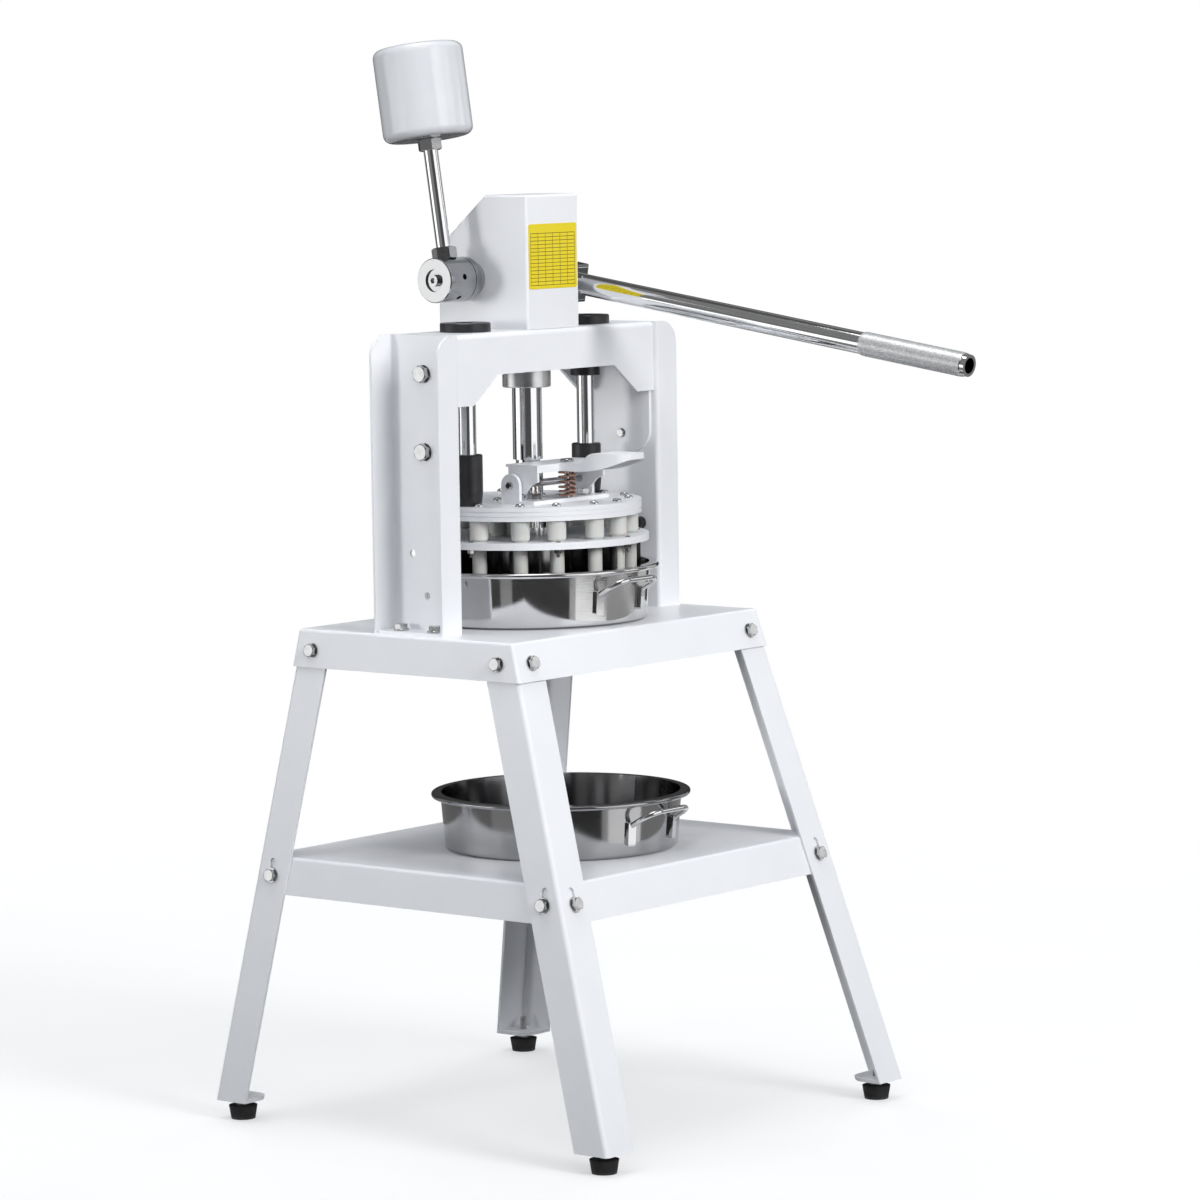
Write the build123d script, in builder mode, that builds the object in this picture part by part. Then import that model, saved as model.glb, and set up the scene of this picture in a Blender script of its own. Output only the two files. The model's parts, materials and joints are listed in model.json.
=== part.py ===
from build123d import *
import os
from math import acos, asin, atan, ceil, cos, pi, radians, sin, sqrt, tan

os.makedirs("parts", exist_ok=True)

# Lengths are in millimetres and angles in degrees; the ram runs up the Z axis and the handle points to -Y

# Stand
table_width = 434.0
table_depth = 306.0
table_height = 552.0
table_drop = 42.0
shelf_height = 299.0
shelf_drop = 42.0
tray_gauge = 2.5
tray_bend = 4.0
side_splay = 5.8
front_splay = 17.2
rear_splay = 10.3
leg_flange = 45.0
leg_gauge = 3.0
leg_corner = 5.0
leg_head_gap = 1.0
leg_bolt_inset = 26.0
table_bolt_drop = 24.0
shelf_bolt_drop = 22.0
leg_slot_length = 24.0
foot_plate_gauge = 4.0
foot_plate_corner = 22.0
foot_inset = 22.0
foot_height = 15.0
foot_diameter = 32.0
foot_tip_diameter = 27.0
foot_stud_rise = 15.0
foot_stud_grip = 9.0

# Hexagon bolts and nuts
m8 = 8.0
m8_flats = 13.0
m8_head = 5.3
m8_nut = 6.5
m10 = 10.0
m10_flats = 17.0
m10_head = 6.4
m16 = 16.0
m16_flats = 24.0
m16_nut = 13.0
bolt_tail = 4.0
hole_play = 0.3
edge_break = 1.0

# Press frame
column_gap = 346.0
column_flange = 36.0
column_depth = 98.0
column_gauge = 3.0
column_bend = 5.0
column_corner = 25.0
base_tab_relief = 2.0
base_bolt_spread = 48.0
base_slot_length = 14.0
web_hole_diameter = 8.0
web_hole_high = 86.0
web_hole_low = 40.0
web_hole_back = 20.0
crosshead_depth = 88.0
crosshead_gauge = 4.0
crosshead_bend = 6.0
apron_mid_drop = 46.0
apron_end_drop = 78.0
apron_mid_width = 204.0
apron_end_width = 290.0
tab_drop = 148.0
tab_corner = 26.0
tab_bolt_high = 42.5
tab_bolt_low = 127.5
bumper_diameter = 14.0
bumper_height = 9.0
bumper_stem = 5.0
bumper_stem_depth = 2.0
bumper_round = 2.0
bumper_front = 23.0
bumper_rise = 95.5

# Pans
pan_base_diameter = 260.0
pan_wall_flare = 10.0
pan_rim_flare = 20.0
pan_height = 63.0
pan_gauge = 1.2
pan_corner = 5.0
pan_bead = 5.5
wire_diameter = 6.0
wire_spread = 79.0
wire_stand_off = 15.0
wire_root = 36.5
wire_rise = 52.0
wire_bend = 20.0
wire_seat = 0.1
strap_width = 10.0
strap_length = 26.0
strap_gauge = 4.0
strap_round = 2.0
strap_low = 14.0
spare_pan_front = 40.0

# Knife set, hung from the ram
knife_floor_gap = 0.6
knife_height = 86.0
knife_gauge = 2.0
knife_bevel = 4.0
knife_count = 8
inner_cells = 2
knife_wall_gap = 3.8
knife_seat = 0.1
carrier_overhang = 9.0
carrier_gauge = 7.5
ram_diameter = 33.0
ram_flange_diameter = 58.0
ram_flange = 8.0
ram_screw = 6.0
ram_screw_head = 10.0
ram_screw_rise = 6.0
ram_screw_circle = 46.0
ram_travel = 62.5
ram_end_chamfer = 1.5

# Press head, which slides up on the ram when the latch is open
head_stroke = 14.0
disc_inset = 8.0
disc_gauge = 15.0
disc_groove = 1.0
spacer_diameter = 21.0
spacer_height = 23.0
spacer_round = 4.0
spacer_seat = 0.3
pillar_diameter = 16.0
pillar_play = 0.4
pillar_inset = 13.0
pillar_pair = 47.4
inner_pillar_x = 38.0
inner_pillar_y = 13.0
block_height = 25.0
block_recess = 0.6
block_play = 0.6
head_bore_play = 0.4
dome_screw = 6.0
dome_head = 10.5
dome_rise = 4.0
dome_grip = 12.0
rod_inset = 8.0
rod_diameter = 20.0
rod_seat = 12.0
rod_top_gap = 3.0
sleeve_diameter = 33.0
sleeve_foot_diameter = 30.0
sleeve_height = 56.5
sleeve_taper = 15.0
fit_play = 0.05

# Latch
pivot_front = 28.5
pivot_rise = 20.5
pivot_diameter = 8.0
ear_spread = 132.0
ear_gauge = 4.0
ear_width = 26.0
bracket_gauge = 4.0
bracket_front = 62.0
bracket_rear = 19.0
bracket_bolt_spread = 86.0
bracket_bolt_front = 44.0
bracket_bolt_grip = 6.0
lever_gap = 3.0
lever_gauge = 3.0
lever_rise = 20.0
lever_nose_gap = 0.5
lever_front = 62.0
lever_boss = 8.0
lever_cheek_nose = 4.4
lever_cheek_front = 24.1
lever_cheek_rise = 0.7
lever_cheek_low = 13.5
lever_cheek_drop = 9.7
tongue_width = 42.0
tongue_lip = 8.5
tongue_tip_lip = 6.0
tongue_bend_start = 84.0
tongue_bend_end = 112.0
tongue_step = 12.5
tongue_reach = 156.0
tongue_round = 14.0
ram_groove_depth = 3.0
ram_groove_play = 1.5
latch_bolt_front = 56.0
latch_bolt = 6.0
latch_bolt_head = 15.0
latch_bolt_rise = 3.5
latch_slot_play = 0.8
latch_slot_length = 13.0
latch_head_gap = 0.3
spring_diameter = 20.0
spring_wire = 2.8
spring_turns = 6
spring_closing = 0.3
spring_seat = 0.3

# Guides in the crosshead
guide_bush_diameter = 33.0
guide_flange_diameter = 56.0
guide_flange = 10.0
guide_bush_drop = 58.0
lift_play = 0.5
running_play = 0.06
ram_bush_diameter = 54.0
ram_bush_spigot = 42.0
ram_bush_drop = 66.0
ram_ring_height = 7.0

# Drive
gear_module = 3.0
pinion_teeth = 20
pinion_face = 22.0
pressure_angle = 20.0
gear_backlash = 0.4
rack_depth = 9.0
shaft_rise = 55.7
shaft_diameter = 25.0
key_width = 8.0
key_height = 7.0
key_depth = 4.0
rack_lead = 19.0
ram_headroom = 8.8
housing_width = 90.0
housing_gauge = 2.0
housing_bend = 3.0
housing_rear = 88.0
housing_slope_start = 19.5
housing_slope_drop = 58.0
housing_floor_gap = 3.0
housing_set_back = 3.3
cheek_gauge = 9.0
cheek_gap = 1.0
cheek_head = 28.0
cheek_front = 32.0
bearing_diameter = 34.0
bearing_flange_diameter = 38.0
bearing_flange = 11.0
hub_gap = 0.5
hub_diameter = 49.5
weight_hub_length = 53.0
hub_hole = 6.5
hub_hole_depth = 9.0
hub_hole_count = 6
hub_groove = 1.0
hub_groove_offset = 10.3
shaft_recess = 2.5
arm_lean = 8.7
arm_spot = 23.3
arm_offset = 29.7
arm_seat = 14.0
weight_diameter = 100.0
weight_height = 103.0
weight_start = 157.0
weight_round = 9.0
weight_grip = 45.0
handle_lean = 8.7
handle_hub_width = 28.0
handle_hub_height = 43.0
handle_hub_reach = 62.0
handle_hub_round = 4.0
handle_diameter = 24.0
handle_bore = 17.0
handle_start = 20.0
handle_reach = 595.0
grip_diameter = 25.6
grip_length = 134.0
grip_margin = 5.0
grip_chamfer = 0.7
cap_screw_head = 13.0
cap_screw_rise = 5.0
cap_screw_grip = 16.0
cap_screw_socket = 6.0
cap_screw_socket_depth = 3.0

# Clearance for cuts and round details
cut_past = 1.0
spot_play = 1.0
tooth_root = 1.25
dome_share = 0.8
bolt_dome_share = 0.7

# Widths that follow from the pan, so that the ring leaves every cell the same share of the floor
pan_wall_diameter = pan_base_diameter + pan_wall_flare
pan_rim_diameter = pan_wall_diameter + pan_rim_flare
wire_reach = pan_rim_diameter / 2 + wire_stand_off
knife_reach = pan_base_diameter / 2 - pan_gauge - knife_wall_gap
ring_diameter = pan_base_diameter * sqrt(inner_cells / (inner_cells + knife_count))
carrier_diameter = 2 * (knife_reach + carrier_overhang)
disc_diameter = carrier_diameter - 2 * disc_inset
pillar_circle = 2 * (knife_reach - pillar_inset)
pillar_turn = asin(pillar_pair / pillar_circle)
rod_spread = pillar_circle - 2 * rod_inset
grip_end = handle_reach - grip_margin
grip_start = grip_end - grip_length

# Heights that follow from the stack on the table
leg_bottom = foot_height + m8_nut
pan_floor = table_height + pan_gauge
knife_edge = pan_floor + knife_floor_gap
carrier_bottom = knife_edge + knife_height
carrier_top = carrier_bottom + carrier_gauge
disc_bottom = carrier_top + spacer_seat + spacer_height
disc_top = disc_bottom + disc_gauge
sleeve_top = disc_top + sleeve_height
bridge_top = sleeve_top + head_stroke + ram_travel + lift_play + guide_bush_drop
shaft_z = bridge_top + shaft_rise
ram_top = shaft_z + rack_lead
housing_top = ram_top + ram_travel + ram_headroom + housing_gauge
pivot_z = disc_top + pivot_rise
lever_bottom = pivot_z + lever_rise
lever_top = lever_bottom + lever_gauge
pitch_radius = gear_module * pinion_teeth / 2
shaft_y = rack_depth + pitch_radius
hub_start = housing_width / 2 + bearing_flange + hub_gap
handle_x = hub_start + handle_hub_width / 2
arm_x = -hub_start - arm_offset


def footprint(z, inset):
    """Half width, front and rear of the splayed stand at one height, set in by a sheet thickness."""
    drop = table_height - z
    half = table_width / 2 + drop * tan(radians(side_splay)) - inset / cos(radians(side_splay))
    front = -table_depth / 2 - drop * tan(radians(front_splay)) + inset / cos(radians(front_splay))
    rear = table_depth / 2 + drop * tan(radians(rear_splay)) - inset / cos(radians(rear_splay))
    return half, front, rear


def face_plane(face, along, z, inset):
    """Plane on one splayed face of the stand, looking outward, with its Y axis up the slope."""
    half, front, rear = footprint(z, inset)
    if face in ("left", "right"):
        way = 1 if face == "right" else -1
        slope = radians(side_splay)
        return Plane((way * half, along, z), x_dir=(0, way, 0), z_dir=(way * cos(slope), 0, sin(slope)))
    way = 1 if face == "rear" else -1
    slope = radians(rear_splay if face == "rear" else front_splay)
    return Plane(
        (along, rear if face == "rear" else front, z),
        x_dir=(-way, 0, 0),
        z_dir=(0, way * cos(slope), sin(slope)),
    )


def bolt_planes(z, inset):
    """Planes of the eight bolts of one tray, two on each face beside the corners."""
    half, front, rear = footprint(z, 0)
    planes = []
    for face in ("left", "right"):
        planes.append(face_plane(face, front + leg_bolt_inset, z, inset))
        planes.append(face_plane(face, rear - leg_bolt_inset, z, inset))
    for face in ("front", "rear"):
        planes.append(face_plane(face, half - leg_bolt_inset, z, inset))
        planes.append(face_plane(face, leg_bolt_inset - half, z, inset))
    return planes


def on_corner(line, side, inward):
    """Whether a bolt line lies at the corner on the given side, where inward is the way to the middle in Y."""
    return line.origin.X * side > 0 and line.origin.Y * inward < 0


# The handle tip and the rear feet set the depth; the whole machine is moved so that its box is centred
handle_angle = radians(handle_lean)
front_reach = shaft_y - handle_reach * cos(handle_angle) - handle_diameter / 2 * sin(handle_angle)
centre_shift = -(front_reach + footprint(leg_bottom, tray_gauge)[2]) / 2


def write(piece, name):
    """Label one finished piece, set it on the centre of the machine and write its file."""
    placed = piece.moved(Location((0, centre_shift, 0)))
    placed.label = name
    export_step(placed, f"parts/{name}.step")


table_bolt_z = table_height - table_bolt_drop
shelf_bolt_z = shelf_height - shelf_bolt_drop
shelf_inset = tray_gauge + leg_gauge
table_bolt_lines = bolt_planes(table_bolt_z, 0)
shelf_bolt_lines = bolt_planes(shelf_bolt_z, tray_gauge)
base_bolt_x = column_gap / 2 + (column_flange + column_gauge) / 2
base_bolt_y = base_bolt_spread / 2
base_bolts = [(side * base_bolt_x, y) for side in (-1, 1) for y in (-base_bolt_y, base_bolt_y)]

# Folded table and shelf trays, open below
for name, tray_top, drop, inset, bolt_lines in (
    ("table_top", table_height, table_drop, 0, table_bolt_lines),
    ("lower_shelf", shelf_height, shelf_drop, shelf_inset, shelf_bolt_lines),
):
    with BuildPart() as tray:
        for z in (tray_top, tray_top - drop):
            half, front, rear = footprint(z, inset)
            with BuildSketch(Plane((0, (front + rear) / 2, z))):
                Rectangle(2 * half, rear - front)
        loft()
        fillet(tray.edges().filter_by(lambda e: e.center().Z > tray_top - drop + tray_bend), radius=tray_bend)
        for z in (tray_top - tray_gauge, tray_top - drop):
            half, front, rear = footprint(z, inset + tray_gauge)
            with BuildSketch(Plane((0, (front + rear) / 2, z))):
                Rectangle(2 * half, rear - front)
        loft(mode=Mode.SUBTRACT)
        with BuildSketch(*bolt_lines):
            Circle((m8 + hole_play) / 2)
        extrude(amount=2 * shelf_inset, both=True, mode=Mode.SUBTRACT)
        if name == "table_top":
            with BuildSketch(Plane.XY.offset(table_height)):
                with Locations(*base_bolts):
                    Circle((m8 + hole_play) / 2)
            extrude(amount=-2 * tray_gauge, mode=Mode.SUBTRACT)
    write(tray.part, name)

# Angle legs, splayed both ways, with a long slot behind each shelf bolt
leg_top = table_height - tray_gauge - leg_head_gap
leg_thick_x = leg_gauge / cos(radians(side_splay))
foot_points = []
foot_plate_corners = []
for depth_name, inward, slope in (("front", 1, front_splay), ("rear", -1, rear_splay)):
    leg_thick_y = leg_gauge / cos(radians(slope))
    for side_name, side in (("left", -1), ("right", 1)):
        low_half, low_front, low_rear = footprint(leg_bottom, tray_gauge)
        high_half, high_front, high_rear = footprint(leg_top, tray_gauge)
        low_y = low_front if depth_name == "front" else low_rear
        high_y = high_front if depth_name == "front" else high_rear
        corner = Vector(side * low_half, low_y, leg_bottom)
        run = Vector(side * high_half, high_y, leg_top) - corner
        with BuildPart() as leg:
            with BuildSketch(Plane(corner)) as angle:
                with BuildLine():
                    Polyline(
                        (0, 0),
                        (-side * leg_flange, 0),
                        (-side * leg_flange, inward * leg_thick_y),
                        (-side * leg_thick_x, inward * leg_thick_y),
                        (-side * leg_thick_x, inward * leg_flange),
                        (0, inward * leg_flange),
                        close=True,
                    )
                make_face()
                fillet(angle.vertices().sort_by_distance((0, 0))[0], radius=leg_corner)
            extrude(amount=run.length, dir=run)
            with BuildSketch(*[line for line in table_bolt_lines if on_corner(line, side, inward)]):
                Circle((m8 + hole_play) / 2)
            extrude(amount=2 * shelf_inset, both=True, mode=Mode.SUBTRACT)
            with BuildSketch(*[line for line in shelf_bolt_lines if on_corner(line, side, inward)]):
                with Locations((0, (leg_slot_length - m8 - hole_play) / 2)):
                    SlotOverall(leg_slot_length, m8 + hole_play, rotation=90)
            extrude(amount=2 * shelf_inset, both=True, mode=Mode.SUBTRACT)
        write(leg.part, f"leg_{depth_name}_{side_name}")
        foot_points.append((corner.X - side * foot_inset, corner.Y + inward * foot_inset))
        plate_low = (corner.X - side * leg_thick_x, corner.Y + inward * leg_thick_y)
        foot_plate_corners.append((plate_low, side, inward, run))

# Foot plates closing the lower ends of the legs
with BuildPart() as foot_plates:
    for (plate_x, plate_y), side, inward, run in foot_plate_corners:
        reach = leg_flange - leg_gauge
        with BuildSketch(Plane((plate_x, plate_y, leg_bottom))) as plate:
            with BuildLine():
                Polyline(
                    (0, 0), (-side * reach, 0), (-side * reach, inward * reach), (0, inward * reach), close=True
                )
            make_face()
            fillet(plate.vertices().sort_by_distance((0, 0))[-1], radius=foot_plate_corner)
        extrude(amount=foot_plate_gauge * run.length / run.Z, dir=run)
    with BuildSketch(Plane.XY.offset(leg_bottom)):
        with Locations(*foot_points):
            Circle((m8 + hole_play) / 2)
    extrude(amount=2 * foot_plate_gauge, mode=Mode.SUBTRACT)
write(foot_plates.part, "foot_plates")

# Levelling studs with a lock nut under each plate and a tapered rubber foot
with BuildPart() as levelling_studs:
    with BuildSketch(Plane.XY.offset(foot_height - foot_stud_grip)):
        with Locations(*foot_points):
            Circle(m8 / 2)
    extrude(amount=foot_stud_grip + m8_nut + foot_plate_gauge + foot_stud_rise)
write(levelling_studs.part, "levelling_studs")

with BuildPart() as foot_nuts:
    with BuildSketch(Plane.XY.offset(foot_height)):
        with Locations(*foot_points):
            RegularPolygon(m8_flats / 2, 6, major_radius=False)
            Circle(m8 / 2 + fit_play, mode=Mode.SUBTRACT)
    extrude(amount=m8_nut)
write(foot_nuts.part, "foot_nuts")

with BuildPart() as rubber_feet:
    for point in foot_points:
        with BuildSketch(Plane((*point, 0))):
            Circle(foot_tip_diameter / 2)
        with BuildSketch(Plane((*point, foot_height))):
            Circle(foot_diameter / 2)
        loft()
    with BuildSketch(Plane.XY.offset(foot_height)):
        with Locations(*foot_points):
            Circle(m8 / 2 + fit_play)
    extrude(amount=-foot_stud_grip, mode=Mode.SUBTRACT)
write(rubber_feet.part, "rubber_feet")

# Bolts through the stand, all alike, with their nuts
stand_heads = table_bolt_lines + shelf_bolt_lines
stand_seats = [line.offset(-shelf_inset) for line in stand_heads]
base_heads = [Plane((x, y, table_height + column_gauge)) for x, y in base_bolts]
base_seats = [Plane((x, y, table_height - tray_gauge)) for x, y in base_bolts]
tab_x = column_gap / 2
tab_bolts = [(side, bridge_top - drop) for side in (-1, 1) for drop in (tab_bolt_high, tab_bolt_low)]
web_x = tab_x + column_gauge
bridge_heads = [Plane((s * web_x, 0, z), x_dir=(0, s, 0), z_dir=(s, 0, 0)) for s, z in tab_bolts]
bracket_bolt_points = [(side * bracket_bolt_spread / 2, -bracket_bolt_front) for side in (-1, 1)]
bracket_heads = [Plane((x, y, disc_top + bracket_gauge)) for x, y in bracket_bolt_points]
for name, heads, size, flats, head, grip in (
    ("stand_bolts", stand_heads, m8, m8_flats, m8_head, shelf_inset + m8_nut),
    ("base_bolts", base_heads, m8, m8_flats, m8_head, column_gauge + tray_gauge + m8_nut),
    ("crosshead_bolts", bridge_heads, m10, m10_flats, m10_head, column_gauge + crosshead_gauge),
    ("bracket_bolts", bracket_heads, m8, m8_flats, m8_head, bracket_gauge + bracket_bolt_grip),
):
    with BuildPart() as bolts:
        with BuildSketch(*heads):
            RegularPolygon(flats / 2, 6, major_radius=False)
        extrude(amount=head)
        with BuildSketch(*heads):
            Circle(size / 2)
        extrude(amount=-grip - bolt_tail)
    write(bolts.part, name)

with BuildPart() as nuts:
    with BuildSketch(*stand_seats, *base_seats):
        RegularPolygon(m8_flats / 2, 6, major_radius=False)
        Circle(m8 / 2 + fit_play, mode=Mode.SUBTRACT)
    extrude(amount=-m8_nut)
write(nuts.part, "m8_nuts")

# Columns, folded channels that open outward, each with a tab bolted to the table
column_height = bridge_top - table_height
column_tip = column_gap / 2 + column_flange
tab_depth = column_depth - 2 * column_gauge - 2 * base_tab_relief
for side_name, side in (("left", -1), ("right", 1)):
    with BuildPart() as column:
        with BuildSketch(Plane((side * column_gap / 2, 0, table_height))) as channel:
            with Locations((side * column_flange / 2, 0)):
                Rectangle(column_flange, column_depth)
            with Locations((side * (column_flange + column_gauge) / 2, 0)):
                Rectangle(column_flange - column_gauge, column_depth - 2 * column_gauge, mode=Mode.SUBTRACT)
            fillet(channel.vertices().filter_by(lambda v: abs(v.X) < column_gauge / 2), radius=column_bend)
            web_line = side * column_gauge
            inside = channel.vertices().filter_by(lambda v: abs(v.X - web_line) < 0.1 * column_gauge)
            fillet(inside, radius=column_bend - column_gauge)
        extrude(amount=column_height)
        top_edges = column.edges().filter_by(Axis.Y).group_by(Axis.Z)[-1]
        fillet(top_edges.filter_by(lambda e: abs(abs(e.center().X) - column_tip) < 0.1), radius=column_corner)
        with BuildSketch(Plane((side * (column_gap / 2 + column_gauge / 2), 0, table_height))):
            with Locations((side * (column_flange - column_gauge) / 2, 0)):
                Rectangle(column_flange - column_gauge, tab_depth)
        extrude(amount=column_gauge)
        with BuildSketch(Plane.XY.offset(table_height)):
            with Locations(*[(x, y) for x, y in base_bolts if x * side > 0]):
                SlotOverall(base_slot_length, m8 + hole_play)
        extrude(amount=2 * column_gauge, mode=Mode.SUBTRACT)
        with BuildSketch(Plane((side * column_gap / 2, 0, 0), x_dir=(0, 1, 0), z_dir=(1, 0, 0))):
            with Locations((0, bridge_top - tab_bolt_high), (0, bridge_top - tab_bolt_low)):
                Circle((m10 + hole_play) / 2)
            with Locations((web_hole_back, table_height + web_hole_high), (0, table_height + web_hole_low)):
                Circle(web_hole_diameter / 2)
        extrude(amount=2 * column_gauge, both=True, mode=Mode.SUBTRACT)
        bumper_hole = (side * column_gap / 2, -bumper_front, table_height + bumper_rise)
        with BuildSketch(Plane(bumper_hole, x_dir=(0, 1, 0), z_dir=(side, 0, 0))):
            Circle(bumper_stem / 2 + fit_play)
        extrude(amount=bumper_stem_depth, mode=Mode.SUBTRACT)
    write(column.part, f"column_{side_name}")

with BuildPart() as bumpers:
    for side in (-1, 1):
        bumper_seat = (side * column_gap / 2, -bumper_front, table_height + bumper_rise)
        seat = Plane(bumper_seat, x_dir=(0, 1, 0), z_dir=(-side, 0, 0))
        with BuildSketch(seat):
            Circle(bumper_diameter / 2)
        extrude(amount=bumper_height)
        with BuildSketch(seat):
            Circle(bumper_stem / 2)
        extrude(amount=fit_play - bumper_stem_depth)
    bumper_rims = bumpers.edges().filter_by(lambda e: abs(e.center().X) < column_gap / 2 - bumper_height / 2)
    fillet(bumper_rims, radius=bumper_round)
write(bumpers.part, "column_bumpers")

# Crosshead, a folded bridge with cut-out aprons and long end tabs bolted to the columns
apron_y = crosshead_depth / 2
crosshead_inside = crosshead_depth - 2 * crosshead_gauge
with BuildPart() as crosshead:
    with BuildSketch(Plane((-tab_x, 0, bridge_top), x_dir=(0, 1, 0), z_dir=(1, 0, 0))) as section:
        with Locations((0, -apron_end_drop / 2)):
            Rectangle(crosshead_depth, apron_end_drop)
        with Locations((0, -(apron_end_drop + crosshead_gauge) / 2)):
            Rectangle(crosshead_inside, apron_end_drop - crosshead_gauge, mode=Mode.SUBTRACT)
        fillet(section.vertices().group_by(Axis.Y)[-1], radius=crosshead_bend)
        fillet(section.vertices().group_by(Axis.Y)[1], radius=crosshead_bend - crosshead_gauge)
    extrude(amount=column_gap)
    with BuildSketch(Plane((0, 0, bridge_top), x_dir=(1, 0, 0), z_dir=(0, -1, 0))):
        with BuildLine():
            Polyline(
                (-apron_mid_width / 2, -apron_mid_drop),
                (apron_mid_width / 2, -apron_mid_drop),
                (apron_end_width / 2, -apron_end_drop - cut_past),
                (-apron_end_width / 2, -apron_end_drop - cut_past),
                close=True,
            )
        make_face()
    extrude(amount=crosshead_depth, both=True, mode=Mode.SUBTRACT)
    with BuildSketch(Plane.XY.offset(bridge_top)):
        Circle(ram_bush_spigot / 2 + fit_play)
        with Locations((-rod_spread / 2, 0), (rod_spread / 2, 0)):
            Circle(guide_bush_diameter / 2 + fit_play)
    extrude(amount=-2 * crosshead_gauge, mode=Mode.SUBTRACT)
write(crosshead.part, "crosshead")

# End tabs welded between the aprons, tapped for the bolts that come through the columns
with BuildPart() as crosshead_tabs:
    for side in (-1, 1):
        with BuildSketch(Plane((side * tab_x, 0, bridge_top), x_dir=(0, side, 0), z_dir=(side, 0, 0))) as tab:
            with Locations((0, -(tab_drop + crosshead_gauge) / 2)):
                Rectangle(crosshead_inside, tab_drop - crosshead_gauge)
            fillet(tab.vertices().group_by(Axis.Y)[0], radius=tab_corner)
            fillet(tab.vertices().group_by(Axis.Y)[-1], radius=crosshead_bend - crosshead_gauge)
            with Locations((0, -tab_bolt_high), (0, -tab_bolt_low)):
                Circle(m10 / 2 + fit_play, mode=Mode.SUBTRACT)
        extrude(amount=-crosshead_gauge)
write(crosshead_tabs.part, "crosshead_tabs")

# Bushes that guide the rods and the ram
for side_name, side in (("left", -1), ("right", 1)):
    with BuildPart() as guide_bush:
        with BuildSketch(Plane((side * rod_spread / 2, 0, bridge_top))):
            Circle(guide_flange_diameter / 2)
        extrude(amount=guide_flange)
        with BuildSketch(Plane((side * rod_spread / 2, 0, bridge_top))):
            Circle(guide_bush_diameter / 2)
        extrude(amount=-guide_bush_drop)
        chamfer(guide_bush.edges().group_by(Axis.Z)[-1], length=edge_break)
        with BuildSketch(Plane((side * rod_spread / 2, 0, bridge_top))):
            Circle(rod_diameter / 2 + running_play)
        extrude(amount=2 * guide_bush_drop, both=True, mode=Mode.SUBTRACT)
    write(guide_bush.part, f"guide_bush_{side_name}")

with BuildPart() as ram_bush:
    with BuildSketch(Plane.XY.offset(bridge_top - crosshead_gauge)):
        Circle(ram_bush_diameter / 2)
    extrude(amount=crosshead_gauge - ram_bush_drop)
    chamfer(ram_bush.edges().group_by(Axis.Z)[0], length=edge_break)
    with BuildSketch(Plane.XY.offset(bridge_top - crosshead_gauge)):
        Circle(ram_bush_spigot / 2)
    extrude(amount=crosshead_gauge + ram_ring_height)
    with BuildSketch(Plane.XY.offset(bridge_top)):
        Circle(ram_diameter / 2 + running_play)
    extrude(amount=2 * ram_bush_drop, both=True, mode=Mode.SUBTRACT)
write(ram_bush.part, "ram_bush")

with BuildPart() as ram_bush_ring:
    with BuildSketch(Plane.XY.offset(bridge_top)):
        Circle(ram_bush_diameter / 2)
        Circle(ram_bush_spigot / 2 + fit_play, mode=Mode.SUBTRACT)
    extrude(amount=ram_ring_height)
write(ram_bush_ring.part, "ram_bush_ring")

# Gear housing, a folded cover whose rear overhangs the crosshead and is closed below
housing_inside = housing_width / 2 - housing_gauge
housing_front = -apron_y + housing_set_back
housing_floor_front = housing_front + housing_gauge
housing_floor_rear = apron_y + housing_floor_gap
housing_outline = (
    (housing_front, bridge_top),
    (housing_front, housing_top),
    (housing_slope_start, housing_top),
    (housing_rear, housing_top - housing_slope_drop),
    (housing_rear, bridge_top),
)
with BuildPart() as housing:
    with BuildSketch(Plane.YZ):
        with BuildLine():
            Polyline(*housing_outline, close=True)
        make_face()
    extrude(amount=housing_width / 2, both=True)
    fillet(housing.edges().filter_by(lambda e: e.center().Z > bridge_top + 1), radius=housing_bend)
    with BuildSketch(Plane.YZ):
        with BuildLine():
            Polyline(*housing_outline, close=True)
        make_face()
        offset(amount=-housing_gauge, mode=Mode.REPLACE)
    extrude(amount=housing_inside, both=True, mode=Mode.SUBTRACT)
    with BuildSketch(Plane((0, (housing_floor_front + housing_floor_rear) / 2, bridge_top))):
        Rectangle(2 * housing_inside, housing_floor_rear - housing_floor_front)
    extrude(amount=housing_gauge, mode=Mode.SUBTRACT)
    with BuildSketch(Plane.YZ):
        with Locations((shaft_y, shaft_z)):
            Circle(bearing_diameter / 2 + fit_play)
    extrude(amount=housing_width, both=True, mode=Mode.SUBTRACT)
write(housing.part, "gear_housing")

# Cheeks that stand on the crosshead and carry the flanged bearing bushes of the shaft
cheek_face = housing_width / 2 - housing_gauge - cheek_gap
with BuildPart() as cheeks:
    for side in (-1, 1):
        with BuildSketch(Plane((side * cheek_face, 0, 0), x_dir=(0, side, 0), z_dir=(side, 0, 0))):
            with BuildLine():
                Polyline(
                    (-side * cheek_front, bridge_top),
                    (side * apron_y, bridge_top),
                    (side * (shaft_y + cheek_head), shaft_z),
                    (side * (shaft_y - cheek_head), shaft_z),
                    close=True,
                )
            make_face()
            with Locations((side * shaft_y, shaft_z)):
                Circle(cheek_head)
                Circle(bearing_diameter / 2 + fit_play, mode=Mode.SUBTRACT)
        extrude(amount=-cheek_gauge)
write(cheeks.part, "bearing_cheeks")

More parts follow.
